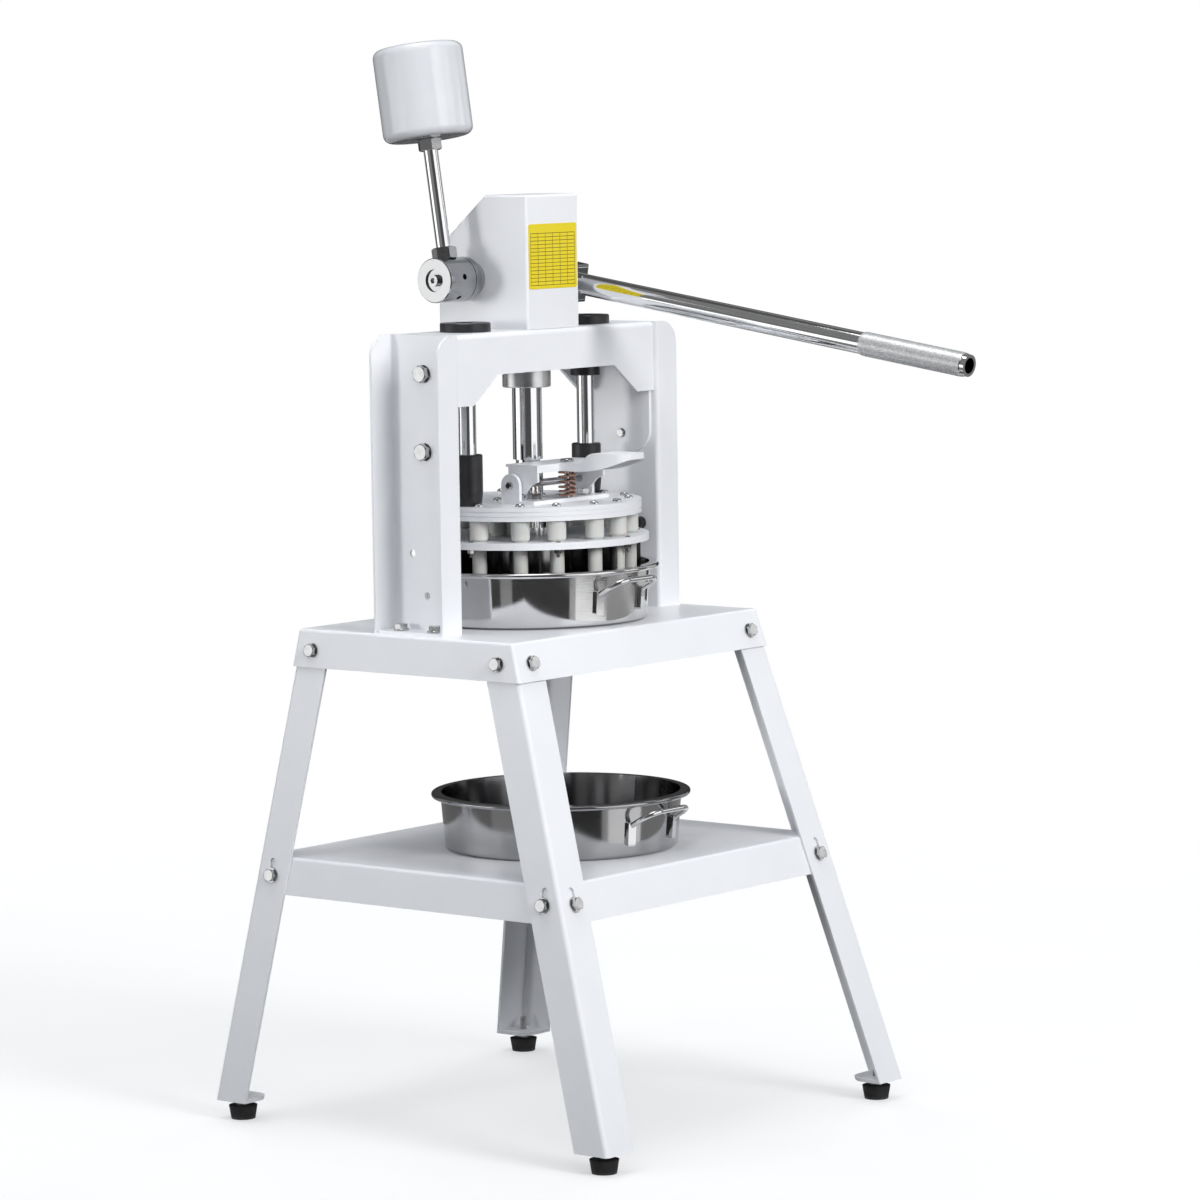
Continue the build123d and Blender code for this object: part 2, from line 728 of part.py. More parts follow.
for side_name, side in (("left", -1), ("right", 1)):
    bearing = Plane((side * housing_width / 2, shaft_y, shaft_z), x_dir=(0, side, 0), z_dir=(side, 0, 0))
    with BuildPart() as bearing_bush:
        with BuildSketch(bearing):
            Circle(bearing_flange_diameter / 2)
        extrude(amount=bearing_flange)
        with BuildSketch(bearing):
            Circle(bearing_diameter / 2)
        extrude(amount=-housing_gauge - cheek_gap - cheek_gauge)
        with BuildSketch(bearing):
            Circle(shaft_diameter / 2 + running_play)
        extrude(amount=housing_width / 2, both=True, mode=Mode.SUBTRACT)
    write(bearing_bush.part, f"bearing_bush_{side_name}")

# Shaft with a key seat and tapped ends
hub_end = -hub_start - weight_hub_length
shaft_left = hub_end + shaft_recess
shaft_right = hub_start + handle_hub_width
shaft_axis = Plane((0, shaft_y, shaft_z), x_dir=(0, 1, 0), z_dir=(1, 0, 0))
key_floor = shaft_diameter / 2 - key_depth
with BuildPart() as shaft:
    with BuildSketch(shaft_axis.offset(shaft_left)):
        Circle(shaft_diameter / 2)
    extrude(amount=shaft_right - shaft_left)
    with BuildSketch(Plane((0, shaft_y, shaft_z + key_floor))):
        SlotOverall(pinion_face, key_width + 2 * fit_play)
    extrude(amount=shaft_diameter, mode=Mode.SUBTRACT)
    for end, way in ((shaft_left, 1), (shaft_right, -1)):
        with BuildSketch(shaft_axis.offset(end)):
            Circle(m8 / 2 + fit_play)
        extrude(amount=way * cap_screw_grip, mode=Mode.SUBTRACT)
write(shaft.part, "main_shaft")

with BuildPart() as key:
    with BuildSketch(Plane((0, shaft_y, shaft_z + key_floor))):
        SlotOverall(pinion_face - 2 * fit_play, key_width)
    extrude(amount=key_height)
write(key.part, "pinion_key")


def involute(angle):
    """Involute function of a pressure angle in radians."""
    return tan(angle) - angle


def tooth_half_angle(radius):
    """Half the angle that one pinion tooth fills at a radius, from the involute of its base circle."""
    base_radius = pitch_radius * cos(radians(pressure_angle))
    at_pitch = pi / (2 * pinion_teeth) - gear_backlash / (4 * pitch_radius)
    if radius <= base_radius:
        return at_pitch + involute(radians(pressure_angle))
    return at_pitch + involute(radians(pressure_angle)) - involute(acos(base_radius / radius))


# Pinion with involute teeth, one of them pointing straight at the ram
root_radius = pitch_radius - tooth_root * gear_module
tip_radius = pitch_radius + gear_module
flank = [root_radius + (tip_radius - root_radius) * step / 5 for step in range(6)]
tooth_outline = []
for tooth in range(pinion_teeth):
    middle = pi + 2 * pi * tooth / pinion_teeth
    rising = [(r, middle - tooth_half_angle(r)) for r in flank]
    falling = [(r, middle + tooth_half_angle(r)) for r in reversed(flank)]
    tooth_outline += [(r * cos(turn), r * sin(turn)) for r, turn in rising + falling]
with BuildPart() as pinion:
    with BuildSketch(shaft_axis.offset(-pinion_face / 2)):
        with BuildLine():
            Polyline(*tooth_outline, close=True)
        make_face()
        Circle(shaft_diameter / 2 + fit_play, mode=Mode.SUBTRACT)
        with Locations((0, key_floor + key_height / 2)):
            Rectangle(key_width + 2 * fit_play, key_height + 2 * fit_play, mode=Mode.SUBTRACT)
    extrude(amount=pinion_face)
write(pinion.part, "pinion")

# Handle hub and bar, in a plane whose X axis runs out along the handle
handle_side = Plane(
    (0, shaft_y, shaft_z), x_dir=(0, -cos(handle_angle), -sin(handle_angle)), z_dir=(1, 0, 0)
)
handle_line = Plane(
    (handle_x, shaft_y, shaft_z), x_dir=(1, 0, 0), z_dir=(0, -cos(handle_angle), -sin(handle_angle))
)
with BuildPart() as handle_hub:
    with BuildSketch(handle_side.offset(hub_start)):
        Circle(hub_diameter / 2)
        with Locations((handle_hub_reach / 2, 0)):
            Rectangle(handle_hub_reach, handle_hub_height)
    extrude(amount=handle_hub_width)
    front_face = handle_hub.faces().sort_by(Axis(handle_line.origin, handle_line.z_dir))[-1]
    fillet(front_face.edges(), radius=handle_hub_round)
    with BuildSketch(handle_side.offset(hub_start)):
        Circle(shaft_diameter / 2 + fit_play)
    extrude(amount=handle_hub_width, mode=Mode.SUBTRACT)
    with BuildSketch(handle_line.offset(handle_start)):
        Circle(handle_diameter / 2 + fit_play)
    extrude(amount=handle_hub_reach, mode=Mode.SUBTRACT)
write(handle_hub.part, "handle_hub")

with BuildPart() as handle_bar:
    with BuildSketch(handle_line.offset(handle_start)):
        Circle(handle_diameter / 2)
    extrude(amount=handle_reach - handle_start)
    with BuildSketch(handle_line.offset(grip_start)):
        Circle(grip_diameter / 2)
    extrude(amount=grip_end - grip_start)
    rims = handle_bar.edges().filter_by(GeomType.CIRCLE)
    chamfer(rims.filter_by(lambda e: e.radius > (handle_diameter + grip_diameter) / 4), length=grip_chamfer)
    with BuildSketch(handle_line.offset(handle_start)):
        Circle(handle_bore / 2)
    extrude(amount=handle_reach, mode=Mode.SUBTRACT)
write(handle_bar.part, "handle_bar")

# Counterweight hub, rod, nuts and weight, on a line that leans to the rear
arm_angle = radians(arm_lean)
arm_line = Plane((arm_x, shaft_y, shaft_z), x_dir=(1, 0, 0), z_dir=(0, sin(arm_angle), cos(arm_angle)))
with BuildPart() as weight_hub:
    with BuildSketch(shaft_axis.offset(hub_end)):
        Circle(hub_diameter / 2)
        Circle(shaft_diameter / 2 + fit_play, mode=Mode.SUBTRACT)
    extrude(amount=weight_hub_length)
    rims = weight_hub.edges().filter_by(GeomType.CIRCLE)
    chamfer(rims.filter_by(lambda e: e.radius > (shaft_diameter + hub_diameter) / 4), length=edge_break)
    with BuildSketch(arm_line.offset(arm_spot)):
        Circle(m16_flats / sqrt(3) + spot_play)
    extrude(amount=hub_diameter, mode=Mode.SUBTRACT)
    with BuildSketch(arm_line.offset(arm_seat)):
        Circle(m16 / 2 + fit_play)
    extrude(amount=hub_diameter, mode=Mode.SUBTRACT)
    with BuildSketch(shaft_axis.offset(-hub_start - hub_groove_offset)):
        Circle(hub_diameter / 2 + cut_past)
        Circle(hub_diameter / 2 - hub_groove, mode=Mode.SUBTRACT)
    extrude(amount=hub_groove, mode=Mode.SUBTRACT)
    for turn in range(1, hub_hole_count - 1):
        angle = arm_angle + 2 * pi * (turn + 0.5) / hub_hole_count
        way = (0, sin(angle), cos(angle))
        mouth = Plane((arm_x, shaft_y, shaft_z), x_dir=(1, 0, 0), z_dir=way).offset(hub_diameter / 2)
        with BuildSketch(mouth):
            Circle(hub_hole / 2)
        extrude(amount=-hub_hole_depth, mode=Mode.SUBTRACT)
write(weight_hub.part, "counterweight_hub")

with BuildPart() as weight_rod:
    with BuildSketch(arm_line.offset(arm_seat)):
        Circle(m16 / 2)
    extrude(amount=weight_start + weight_grip - arm_seat)
write(weight_rod.part, "counterweight_rod")

with BuildPart() as weight_nuts:
    with BuildSketch(arm_line.offset(arm_spot), arm_line.offset(weight_start - m16_nut)):
        RegularPolygon(m16_flats / 2, 6, major_radius=False)
        Circle(m16 / 2 + fit_play, mode=Mode.SUBTRACT)
    extrude(amount=m16_nut)
write(weight_nuts.part, "counterweight_nuts")

with BuildPart() as weight:
    with BuildSketch(arm_line.offset(weight_start)):
        Circle(weight_diameter / 2)
    extrude(amount=weight_height)
    fillet(weight.edges().filter_by(GeomType.CIRCLE), radius=weight_round)
    with BuildSketch(arm_line.offset(weight_start)):
        Circle(m16 / 2 + fit_play)
    extrude(amount=weight_grip, mode=Mode.SUBTRACT)
write(weight.part, "counterweight")

with BuildPart() as shaft_screws:
    for end, way in ((shaft_left, -1), (shaft_right, 1)):
        with BuildSketch(shaft_axis.offset(end)):
            Circle(cap_screw_head / 2)
        extrude(amount=way * cap_screw_rise)
        with BuildSketch(shaft_axis.offset(end)):
            Circle(m8 / 2)
        extrude(amount=-way * (cap_screw_grip - 1))
        with BuildSketch(shaft_axis.offset(end + way * cap_screw_rise)):
            RegularPolygon(cap_screw_socket / 2, 6, major_radius=False)
        extrude(amount=-way * cap_screw_socket_depth, mode=Mode.SUBTRACT)
write(shaft_screws.part, "shaft_screws")

# Ram with a bolted flange below, a ring groove for the latch and a rack cut into its rear
tooth_pitch = pi * gear_module
slope = tan(radians(pressure_angle))
rack_tip = rack_depth + gear_module
rack_root = rack_depth - tooth_root * gear_module
space_half = tooth_pitch / 4 + gear_backlash / 4
space_tip = space_half + gear_module * slope
space_root = space_half - tooth_root * gear_module * slope
rack_spaces = [shaft_z + k * tooth_pitch for k in range(-ceil((ram_travel + rack_lead) / tooth_pitch), 3)]
rack_start = rack_spaces[0] - tooth_pitch / 2
with BuildPart() as ram:
    with BuildSketch(Plane.XY.offset(carrier_top)):
        Circle(ram_diameter / 2)
    extrude(amount=ram_top - carrier_top)
    chamfer(ram.edges().group_by(Axis.Z)[-1], length=ram_end_chamfer)
    with BuildSketch(Plane.XY.offset(carrier_top)):
        Circle(ram_flange_diameter / 2)
        with PolarLocations(ram_screw_circle / 2, 4, start_angle=45):
            Circle(ram_screw / 2 + fit_play, mode=Mode.SUBTRACT)
    extrude(amount=ram_flange)
    with BuildSketch(Plane.XY.offset(lever_bottom - ram_groove_play)):
        Circle(ram_diameter / 2 + cut_past)
        Circle(ram_diameter / 2 - ram_groove_depth, mode=Mode.SUBTRACT)
    extrude(amount=lever_gauge + 2 * ram_groove_play, mode=Mode.SUBTRACT)
    with BuildSketch(Plane.YZ):
        with BuildLine():
            Polyline(
                (rack_tip, rack_start), (ram_diameter, rack_start), (ram_diameter, ram_top + cut_past),
                (rack_tip, ram_top + cut_past), close=True,
            )
        make_face()
    extrude(amount=ram_diameter, both=True, mode=Mode.SUBTRACT)
    for z in rack_spaces:
        with BuildSketch(Plane.YZ):
            with BuildLine():
                Polyline(
                    (rack_root, z - space_root), (rack_root, z + space_root), (rack_tip, z + space_tip),
                    (rack_tip + cut_past, z + space_tip), (rack_tip + cut_past, z - space_tip),
                    (rack_tip, z - space_tip), close=True,
                )
            make_face()
        extrude(amount=ram_diameter, both=True, mode=Mode.SUBTRACT)
write(ram.part, "ram")

# Pillars of the press head: a pair in each outer cell and two in each inner half
outer_pillars = []
for cell in range(knife_count):
    for way in (-1, 1):
        turn = 2 * pi * (cell + 0.5) / knife_count + way * pillar_turn
        outer_pillars.append((pillar_circle / 2 * cos(turn), pillar_circle / 2 * sin(turn)))
inner_pillars = [(sx * inner_pillar_x, sy * inner_pillar_y) for sx in (-1, 1) for sy in (-1, 1)]
pillar_points = outer_pillars + inner_pillars

with BuildPart() as ram_screws:
    with BuildSketch(Plane.XY.offset(carrier_top + ram_flange)):
        with PolarLocations(ram_screw_circle / 2, 4, start_angle=45):
            Circle(ram_screw_head / 2)
    extrude(amount=ram_screw_rise)
    with BuildSketch(Plane.XY.offset(carrier_top + ram_flange)):
        with PolarLocations(ram_screw_circle / 2, 4, start_angle=45):
            Circle(ram_screw / 2)
    extrude(amount=-ram_flange - carrier_gauge)
write(ram_screws.part, "ram_screws")

with BuildPart() as carrier:
    with BuildSketch(Plane.XY.offset(carrier_bottom)):
        Circle(carrier_diameter / 2)
        with Locations(*pillar_points):
            Circle(pillar_diameter / 2 + pillar_play, mode=Mode.SUBTRACT)
        with PolarLocations(ram_screw_circle / 2, 4, start_angle=45):
            Circle(ram_screw / 2 + fit_play, mode=Mode.SUBTRACT)
    extrude(amount=carrier_gauge)
write(carrier.part, "knife_carrier")

# Knives: a ring, radial blades outside it and one blade across it, all bevelled to an edge below
ring_outer = ring_diameter / 2 + knife_gauge / 2
ring_inner = ring_diameter / 2 - knife_gauge / 2
edge_half = knife_gauge / 4
with BuildPart() as knife_ring:
    with BuildSketch(Plane.XZ):
        with BuildLine():
            Polyline(
                (ring_inner, carrier_bottom), (ring_outer, carrier_bottom),
                (ring_outer, knife_edge + knife_bevel),
                (ring_diameter / 2 + edge_half, knife_edge), (ring_diameter / 2 - edge_half, knife_edge),
                (ring_inner, knife_edge + knife_bevel), close=True,
            )
        make_face()
    revolve(axis=Axis.Z)
write(knife_ring.part, "knife_ring")

blade_section = (
    (-knife_gauge / 2, carrier_bottom), (knife_gauge / 2, carrier_bottom),
    (knife_gauge / 2, knife_edge + knife_bevel), (edge_half, knife_edge),
    (-edge_half, knife_edge), (-knife_gauge / 2, knife_edge + knife_bevel),
)
blade_turns = [360 / knife_count * k for k in range(knife_count)]
with BuildPart() as radial_knives:
    for turn in blade_turns:
        out = Vector(1, 0, 0).rotate(Axis.Z, turn)
        across = Vector(0, 1, 0).rotate(Axis.Z, turn)
        start = out * (ring_outer + knife_seat)
        with BuildSketch(Plane((start.X, start.Y, 0), x_dir=across, z_dir=out)):
            with BuildLine():
                Polyline(*blade_section, close=True)
            make_face()
        extrude(amount=knife_reach - ring_outer - knife_seat)
write(radial_knives.part, "radial_knives")

centre_length = 2 * (ring_inner - knife_seat)
with BuildPart() as centre_knife:
    with BuildSketch(Plane((0, centre_length / 2, 0), x_dir=(1, 0, 0), z_dir=(0, -1, 0))):
        with BuildLine():
            Polyline(*blade_section, close=True)
        make_face()
    extrude(amount=centre_length)
write(centre_knife.part, "centre_knife")

# Press head: disc with two rim grooves, spacers, pillars and the blocks that fill the cells
rods = [(-rod_spread / 2, 0), (rod_spread / 2, 0)]
with BuildPart() as disc:
    with BuildSketch(Plane.XY.offset(disc_bottom)):
        Circle(disc_diameter / 2)
        Circle(ram_diameter / 2 + head_bore_play, mode=Mode.SUBTRACT)
        with Locations(*pillar_points):
            Circle(dome_screw / 2 + fit_play, mode=Mode.SUBTRACT)
    extrude(amount=disc_gauge)
    for third in (1, 2):
        with BuildSketch(Plane.XY.offset(disc_bottom + disc_gauge * third / 3 - disc_groove / 2)):
            Circle(disc_diameter / 2 + cut_past)
            Circle(disc_diameter / 2 - disc_groove, mode=Mode.SUBTRACT)
        extrude(amount=disc_groove, mode=Mode.SUBTRACT)
    with BuildSketch(Plane.XY.offset(disc_top)):
        with Locations(*rods):
            Circle(rod_diameter / 2 + fit_play)
        with Locations((0, -latch_bolt_front)):
            Circle(latch_bolt / 2 + fit_play)
        with Locations(*bracket_bolt_points):
            Circle(m8 / 2 + fit_play)
    extrude(amount=-rod_seat, mode=Mode.SUBTRACT)
write(disc.part, "press_disc")

with BuildPart() as spacers:
    with BuildSketch(Plane.XY.offset(disc_bottom)):
        with Locations(*pillar_points):
            Circle(spacer_diameter / 2)
    extrude(amount=-spacer_height)
    fillet(spacers.edges().group_by(Axis.Z)[0], radius=spacer_round)
    with BuildSketch(Plane.XY.offset(disc_bottom)):
        with Locations(*pillar_points):
            Circle(pillar_diameter / 2 + fit_play)
    extrude(amount=-spacer_height, mode=Mode.SUBTRACT)
write(spacers.part, "spacers")

block_bottom = knife_edge + block_recess
block_top = block_bottom + block_height
with BuildPart() as pillars:
    with BuildSketch(Plane.XY.offset(block_top)):
        with Locations(*pillar_points):
            Circle(pillar_diameter / 2)
    extrude(amount=disc_bottom - block_top)
    with BuildSketch(Plane.XY.offset(disc_bottom)):
        with Locations(*pillar_points):
            Circle(dome_screw / 2 + fit_play)
    extrude(amount=-dome_grip, mode=Mode.SUBTRACT)
write(pillars.part, "pillars")

cut_width = knife_gauge + 2 * block_play
with BuildPart() as blocks:
    with BuildSketch(Plane.XY.offset(block_bottom)):
        Circle(knife_reach)
        Circle(ring_outer + block_play, mode=Mode.SUBTRACT)
        for turn in blade_turns:
            way = Vector(knife_reach / 2, 0, 0).rotate(Axis.Z, turn)
            with Locations((way.X, way.Y)):
                Rectangle(knife_reach + 2 * cut_width, cut_width, rotation=turn, mode=Mode.SUBTRACT)
        Circle(ring_inner - block_play)
        Rectangle(cut_width, ring_diameter, mode=Mode.SUBTRACT)
    extrude(amount=block_height)
write(blocks.part, "press_blocks")

with BuildPart() as dome_screws:
    with BuildSketch(Plane.XY.offset(disc_top)):
        with Locations(*pillar_points):
            Circle(dome_head / 2)
    extrude(amount=dome_rise)
    fillet(dome_screws.edges().group_by(Axis.Z)[-1], radius=dome_share * dome_rise)
    with BuildSketch(Plane.XY.offset(disc_top)):
        with Locations(*pillar_points):
            Circle(dome_screw / 2)
    extrude(amount=-disc_gauge - dome_grip + cut_past)
write(dome_screws.part, "dome_screws")

# Guide rods screwed into the disc, each with a tapered sleeve
with BuildPart() as guide_rods:
    with BuildSketch(Plane.XY.offset(disc_top - rod_seat)):
        with Locations(*rods):
            Circle(rod_diameter / 2)
    extrude(amount=bridge_top + guide_flange - rod_top_gap - disc_top + rod_seat)
    chamfer(guide_rods.edges().group_by(Axis.Z)[-1], length=edge_break)
write(guide_rods.part, "guide_rods")

with BuildPart() as sleeves:
    for x, y in rods:
        with BuildSketch(Plane((x, y, disc_top))):
            Circle(sleeve_foot_diameter / 2)
        with BuildSketch(Plane((x, y, disc_top + sleeve_taper))):
            Circle(sleeve_diameter / 2)
        loft()
        with BuildSketch(Plane((x, y, disc_top + sleeve_taper))):
            Circle(sleeve_diameter / 2)
        extrude(amount=sleeve_height - sleeve_taper)
    chamfer(sleeves.edges().group_by(Axis.Z)[-1], length=edge_break)
    with BuildSketch(Plane.XY.offset(disc_top)):
        with Locations(*rods):
            Circle(rod_diameter / 2 + fit_play)
    extrude(amount=sleeve_height, mode=Mode.SUBTRACT)
write(sleeves.part, "rod_sleeves")

# Latch bracket: a base plate on the disc with two rounded ears
ear_face = ear_spread / 2
with BuildPart() as bracket:
    with BuildSketch(Plane((0, -(bracket_front + bracket_rear) / 2, disc_top))):
        Rectangle(ear_spread, bracket_front - bracket_rear)
    extrude(amount=bracket_gauge)
    for side in (-1, 1):
        ear_centre = (side * ear_face, -pivot_front, pivot_z)
        with BuildSketch(Plane(ear_centre, x_dir=(0, side, 0), z_dir=(side, 0, 0))):
            Circle(ear_width / 2)
            with Locations((0, -pivot_rise / 2)):
                Rectangle(ear_width, pivot_rise)
        extrude(amount=-ear_gauge)
    with BuildSketch(Plane((0, -pivot_front, pivot_z), x_dir=(0, 1, 0), z_dir=(1, 0, 0))):
        Circle(pivot_diameter / 2 + fit_play)
    extrude(amount=ear_spread, both=True, mode=Mode.SUBTRACT)
    with BuildSketch(Plane.XY.offset(disc_top)):
        with Locations((0, -latch_bolt_front)):
            Circle(latch_bolt / 2 + fit_play)
        with Locations(*bracket_bolt_points):
            Circle((m8 + hole_play) / 2)
    extrude(amount=bracket_gauge, mode=Mode.SUBTRACT)
write(bracket.part, "latch_bracket")

with BuildPart() as latch_pin:
    with BuildSketch(Plane((0, -pivot_front, pivot_z), x_dir=(0, 1, 0), z_dir=(1, 0, 0))):
        Circle(pivot_diameter / 2)
    extrude(amount=ear_face + ear_gauge, both=True)
    chamfer(latch_pin.edges().filter_by(GeomType.CIRCLE), length=edge_break)
write(latch_pin.part, "latch_pin")

# Bent lever: a flanged plate whose rear edge faces the ram groove, two cheeks on the pin and a lipped tongue
lever_half = ear_face - ear_gauge - lever_gap
nose_y = -ram_diameter / 2 - lever_nose_gap
tongue_top = lever_top + tongue_step
tongue_root = -lever_front + lever_gauge


def tongue_top_line(inset):
    """Points and mid direction of the tongue's cranked top line, set in below it by a sheet thickness."""
    bend_run = tongue_bend_end - tongue_bend_start
    lean = 2 * atan(tongue_step / bend_run)
    middle_y = -(tongue_bend_start + tongue_bend_end) / 2 - inset * sin(lean)
    middle_z = lever_top + tongue_step / 2 - inset * cos(lean)
    return (
        (-tongue_bend_start, lever_top - inset),
        (middle_y, middle_z),
        (-tongue_bend_end, tongue_top - inset),
        (-cos(lean), sin(lean)),
    )


with BuildPart() as lever:
    for inset, way in ((0, Mode.ADD), (lever_gauge, Mode.SUBTRACT)):
        bend_start, bend_middle, bend_end, middle_way = tongue_top_line(inset)
        tip = (inset - tongue_reach, tongue_top - inset)
        tip_low = (inset - tongue_reach, tongue_top - tongue_tip_lip - inset)
        low_start = (-tongue_bend_start, lever_top - tongue_lip - inset)
        root_low = (tongue_root, lever_top - tongue_lip - inset)
        with BuildSketch(Plane.YZ):
            with BuildLine():
                Line((tongue_root, lever_top - inset), bend_start)
                TangentArc(bend_start, bend_middle, tangent=(-1, 0))
                TangentArc(bend_middle, bend_end, tangent=middle_way)
                Line(bend_end, tip)
                Line(tip, tip_low)
                TangentArc(low_start, tip_low, tangent=(-1, 0))
                Line(low_start, root_low)
                Line(root_low, (tongue_root, lever_top - inset))
            make_face()
        extrude(amount=tongue_width / 2 - inset, both=True, mode=way)
    for inset in (lever_gauge, 0):
        upright = lever.edges().filter_by(Axis.Z)
        tip_edges = upright.filter_by(lambda e: abs(e.center().Y - inset + tongue_reach) < 0.1)
        fillet(tip_edges, radius=tongue_round - inset)
    with BuildSketch(Plane((0, -(lever_front - nose_y) / 2, lever_bottom))):
        Rectangle(2 * lever_half, lever_front + nose_y)
    extrude(amount=lever_gauge)
    flange_start = tongue_width / 2 - lever_gauge
    flange_middle = (lever_half + flange_start) / 2
    with BuildSketch(Plane((0, -lever_front + lever_gauge / 2, lever_top))):
        with Locations((-flange_middle, 0), (flange_middle, 0)):
            Rectangle(lever_half - flange_start, lever_gauge)
    extrude(amount=-tongue_lip)
    for side in (-1, 1):
        with BuildSketch(Plane((side * lever_half, 0, 0), x_dir=(0, side, 0), z_dir=(side, 0, 0))):
            with BuildLine():
                Polyline(
                    (-side * lever_front, lever_bottom),
                    (-side * lever_front, pivot_z + lever_cheek_nose),
                    (-side * (pivot_front + lever_cheek_front), pivot_z + lever_cheek_rise),
                    (-side * (pivot_front + lever_cheek_low), pivot_z - lever_cheek_drop),
                    (-side * (pivot_front - lever_boss), pivot_z),
                    (-side * (pivot_front - lever_boss), lever_bottom),
                    close=True,
                )
            make_face()
            with Locations((-side * pivot_front, pivot_z)):
                Circle(lever_boss)
                Circle(pivot_diameter / 2 + running_play, mode=Mode.SUBTRACT)
        extrude(amount=-lever_gauge)
    with BuildSketch(Plane((0, -latch_bolt_front, lever_bottom))):
        with Locations((0, (latch_slot_length - latch_bolt - latch_slot_play) / 2)):
            SlotOverall(latch_slot_length, latch_bolt + latch_slot_play, rotation=90)
    extrude(amount=lever_gauge, mode=Mode.SUBTRACT)
write(lever.part, "latch_lever")

with BuildPart() as stop_bolt:
    with BuildSketch(Plane((0, -latch_bolt_front, lever_top + latch_head_gap))):
        Circle(latch_bolt_head / 2)
    extrude(amount=latch_bolt_rise)
    fillet(stop_bolt.edges().group_by(Axis.Z)[-1], radius=bolt_dome_share * latch_bolt_rise)
    with BuildSketch(Plane((0, -latch_bolt_front, lever_top + latch_head_gap))):
        Circle(latch_bolt / 2)
    extrude(amount=-(lever_top + latch_head_gap - disc_top + rod_seat - cut_past))
write(stop_bolt.part, "latch_bolt")

# Spring between the bracket and the lever: a helix in quarter-turn arc pairs with straight upright ends
coil_radius = (spring_diameter - spring_wire) / 2
coil_bottom = disc_top + bracket_gauge + spring_seat
coil_top = lever_bottom - spring_seat
coil_rise = coil_top - coil_bottom - spring_wire


def coil_point(turn):
    """Point and direction of the coil after a number of turns, rising slowly at both ends."""
    share = turn / spring_turns
    height = coil_rise * (share - spring_closing * sin(2 * pi * share) / (2 * pi))
    climb = coil_rise / spring_turns * (1 - spring_closing * cos(2 * pi * share)) / (2 * pi)
    angle = 2 * pi * turn
    z = coil_bottom + spring_wire / 2 + height
    point = Vector(coil_radius * cos(angle), coil_radius * sin(angle) - latch_bolt_front, z)
    return point, Vector(-coil_radius * sin(angle), coil_radius * cos(angle), climb).normalized()


def arc_joint(start, start_way, end, end_way):
    """Meeting point of the two equal-reach arcs that join two points with given directions."""
    gap = end - start
    a = 2 * start_way.dot(end_way) - 2
    b = -2 * gap.dot(start_way + end_way)
    c = gap.dot(gap)
    reach = (-b - sqrt(b * b - 4 * a * c)) / (2 * a)
    return ((start + start_way * reach) + (end - end_way * reach)) / 2


coil_stations = [coil_point(quarter / 4) for quarter in range(4 * spring_turns + 1)]
foot_point, foot_way = coil_stations[0]
with BuildPart() as spring:
    with BuildLine() as coil:
        for (here, here_way), (there, there_way) in zip(coil_stations, coil_stations[1:]):
            meet = arc_joint(here, here_way, there, there_way)
            first = TangentArc(here, meet, tangent=here_way)
            TangentArc(first @ 1, there, tangent=first % 1)
    with BuildSketch(Plane(foot_point, z_dir=foot_way)):
        Circle(spring_wire / 2)
    sweep()
write(spring.part, "latch_spring")

coil_samples = [coil.wires()[0] @ (k / 600) for k in range(601)]
turn_samples = 600 // spring_turns
self_gaps = []
for k, point in enumerate(coil_samples):
    for other in coil_samples[k + turn_samples // 2:]:
        self_gaps.append((point - other).length)
print("spring self gap", round(min(self_gaps) - spring_wire, 2), "mm")


# Pans: a thin turned shell with a flared and beaded rim, and a wire handle on two flat straps at the front
def wall_radius(height):
    """Outer radius of the tapered pan wall at a height above the pan's underside."""
    slant = (pan_wall_diameter - pan_base_diameter) / 2
    return pan_base_diameter / 2 + slant * height / pan_height


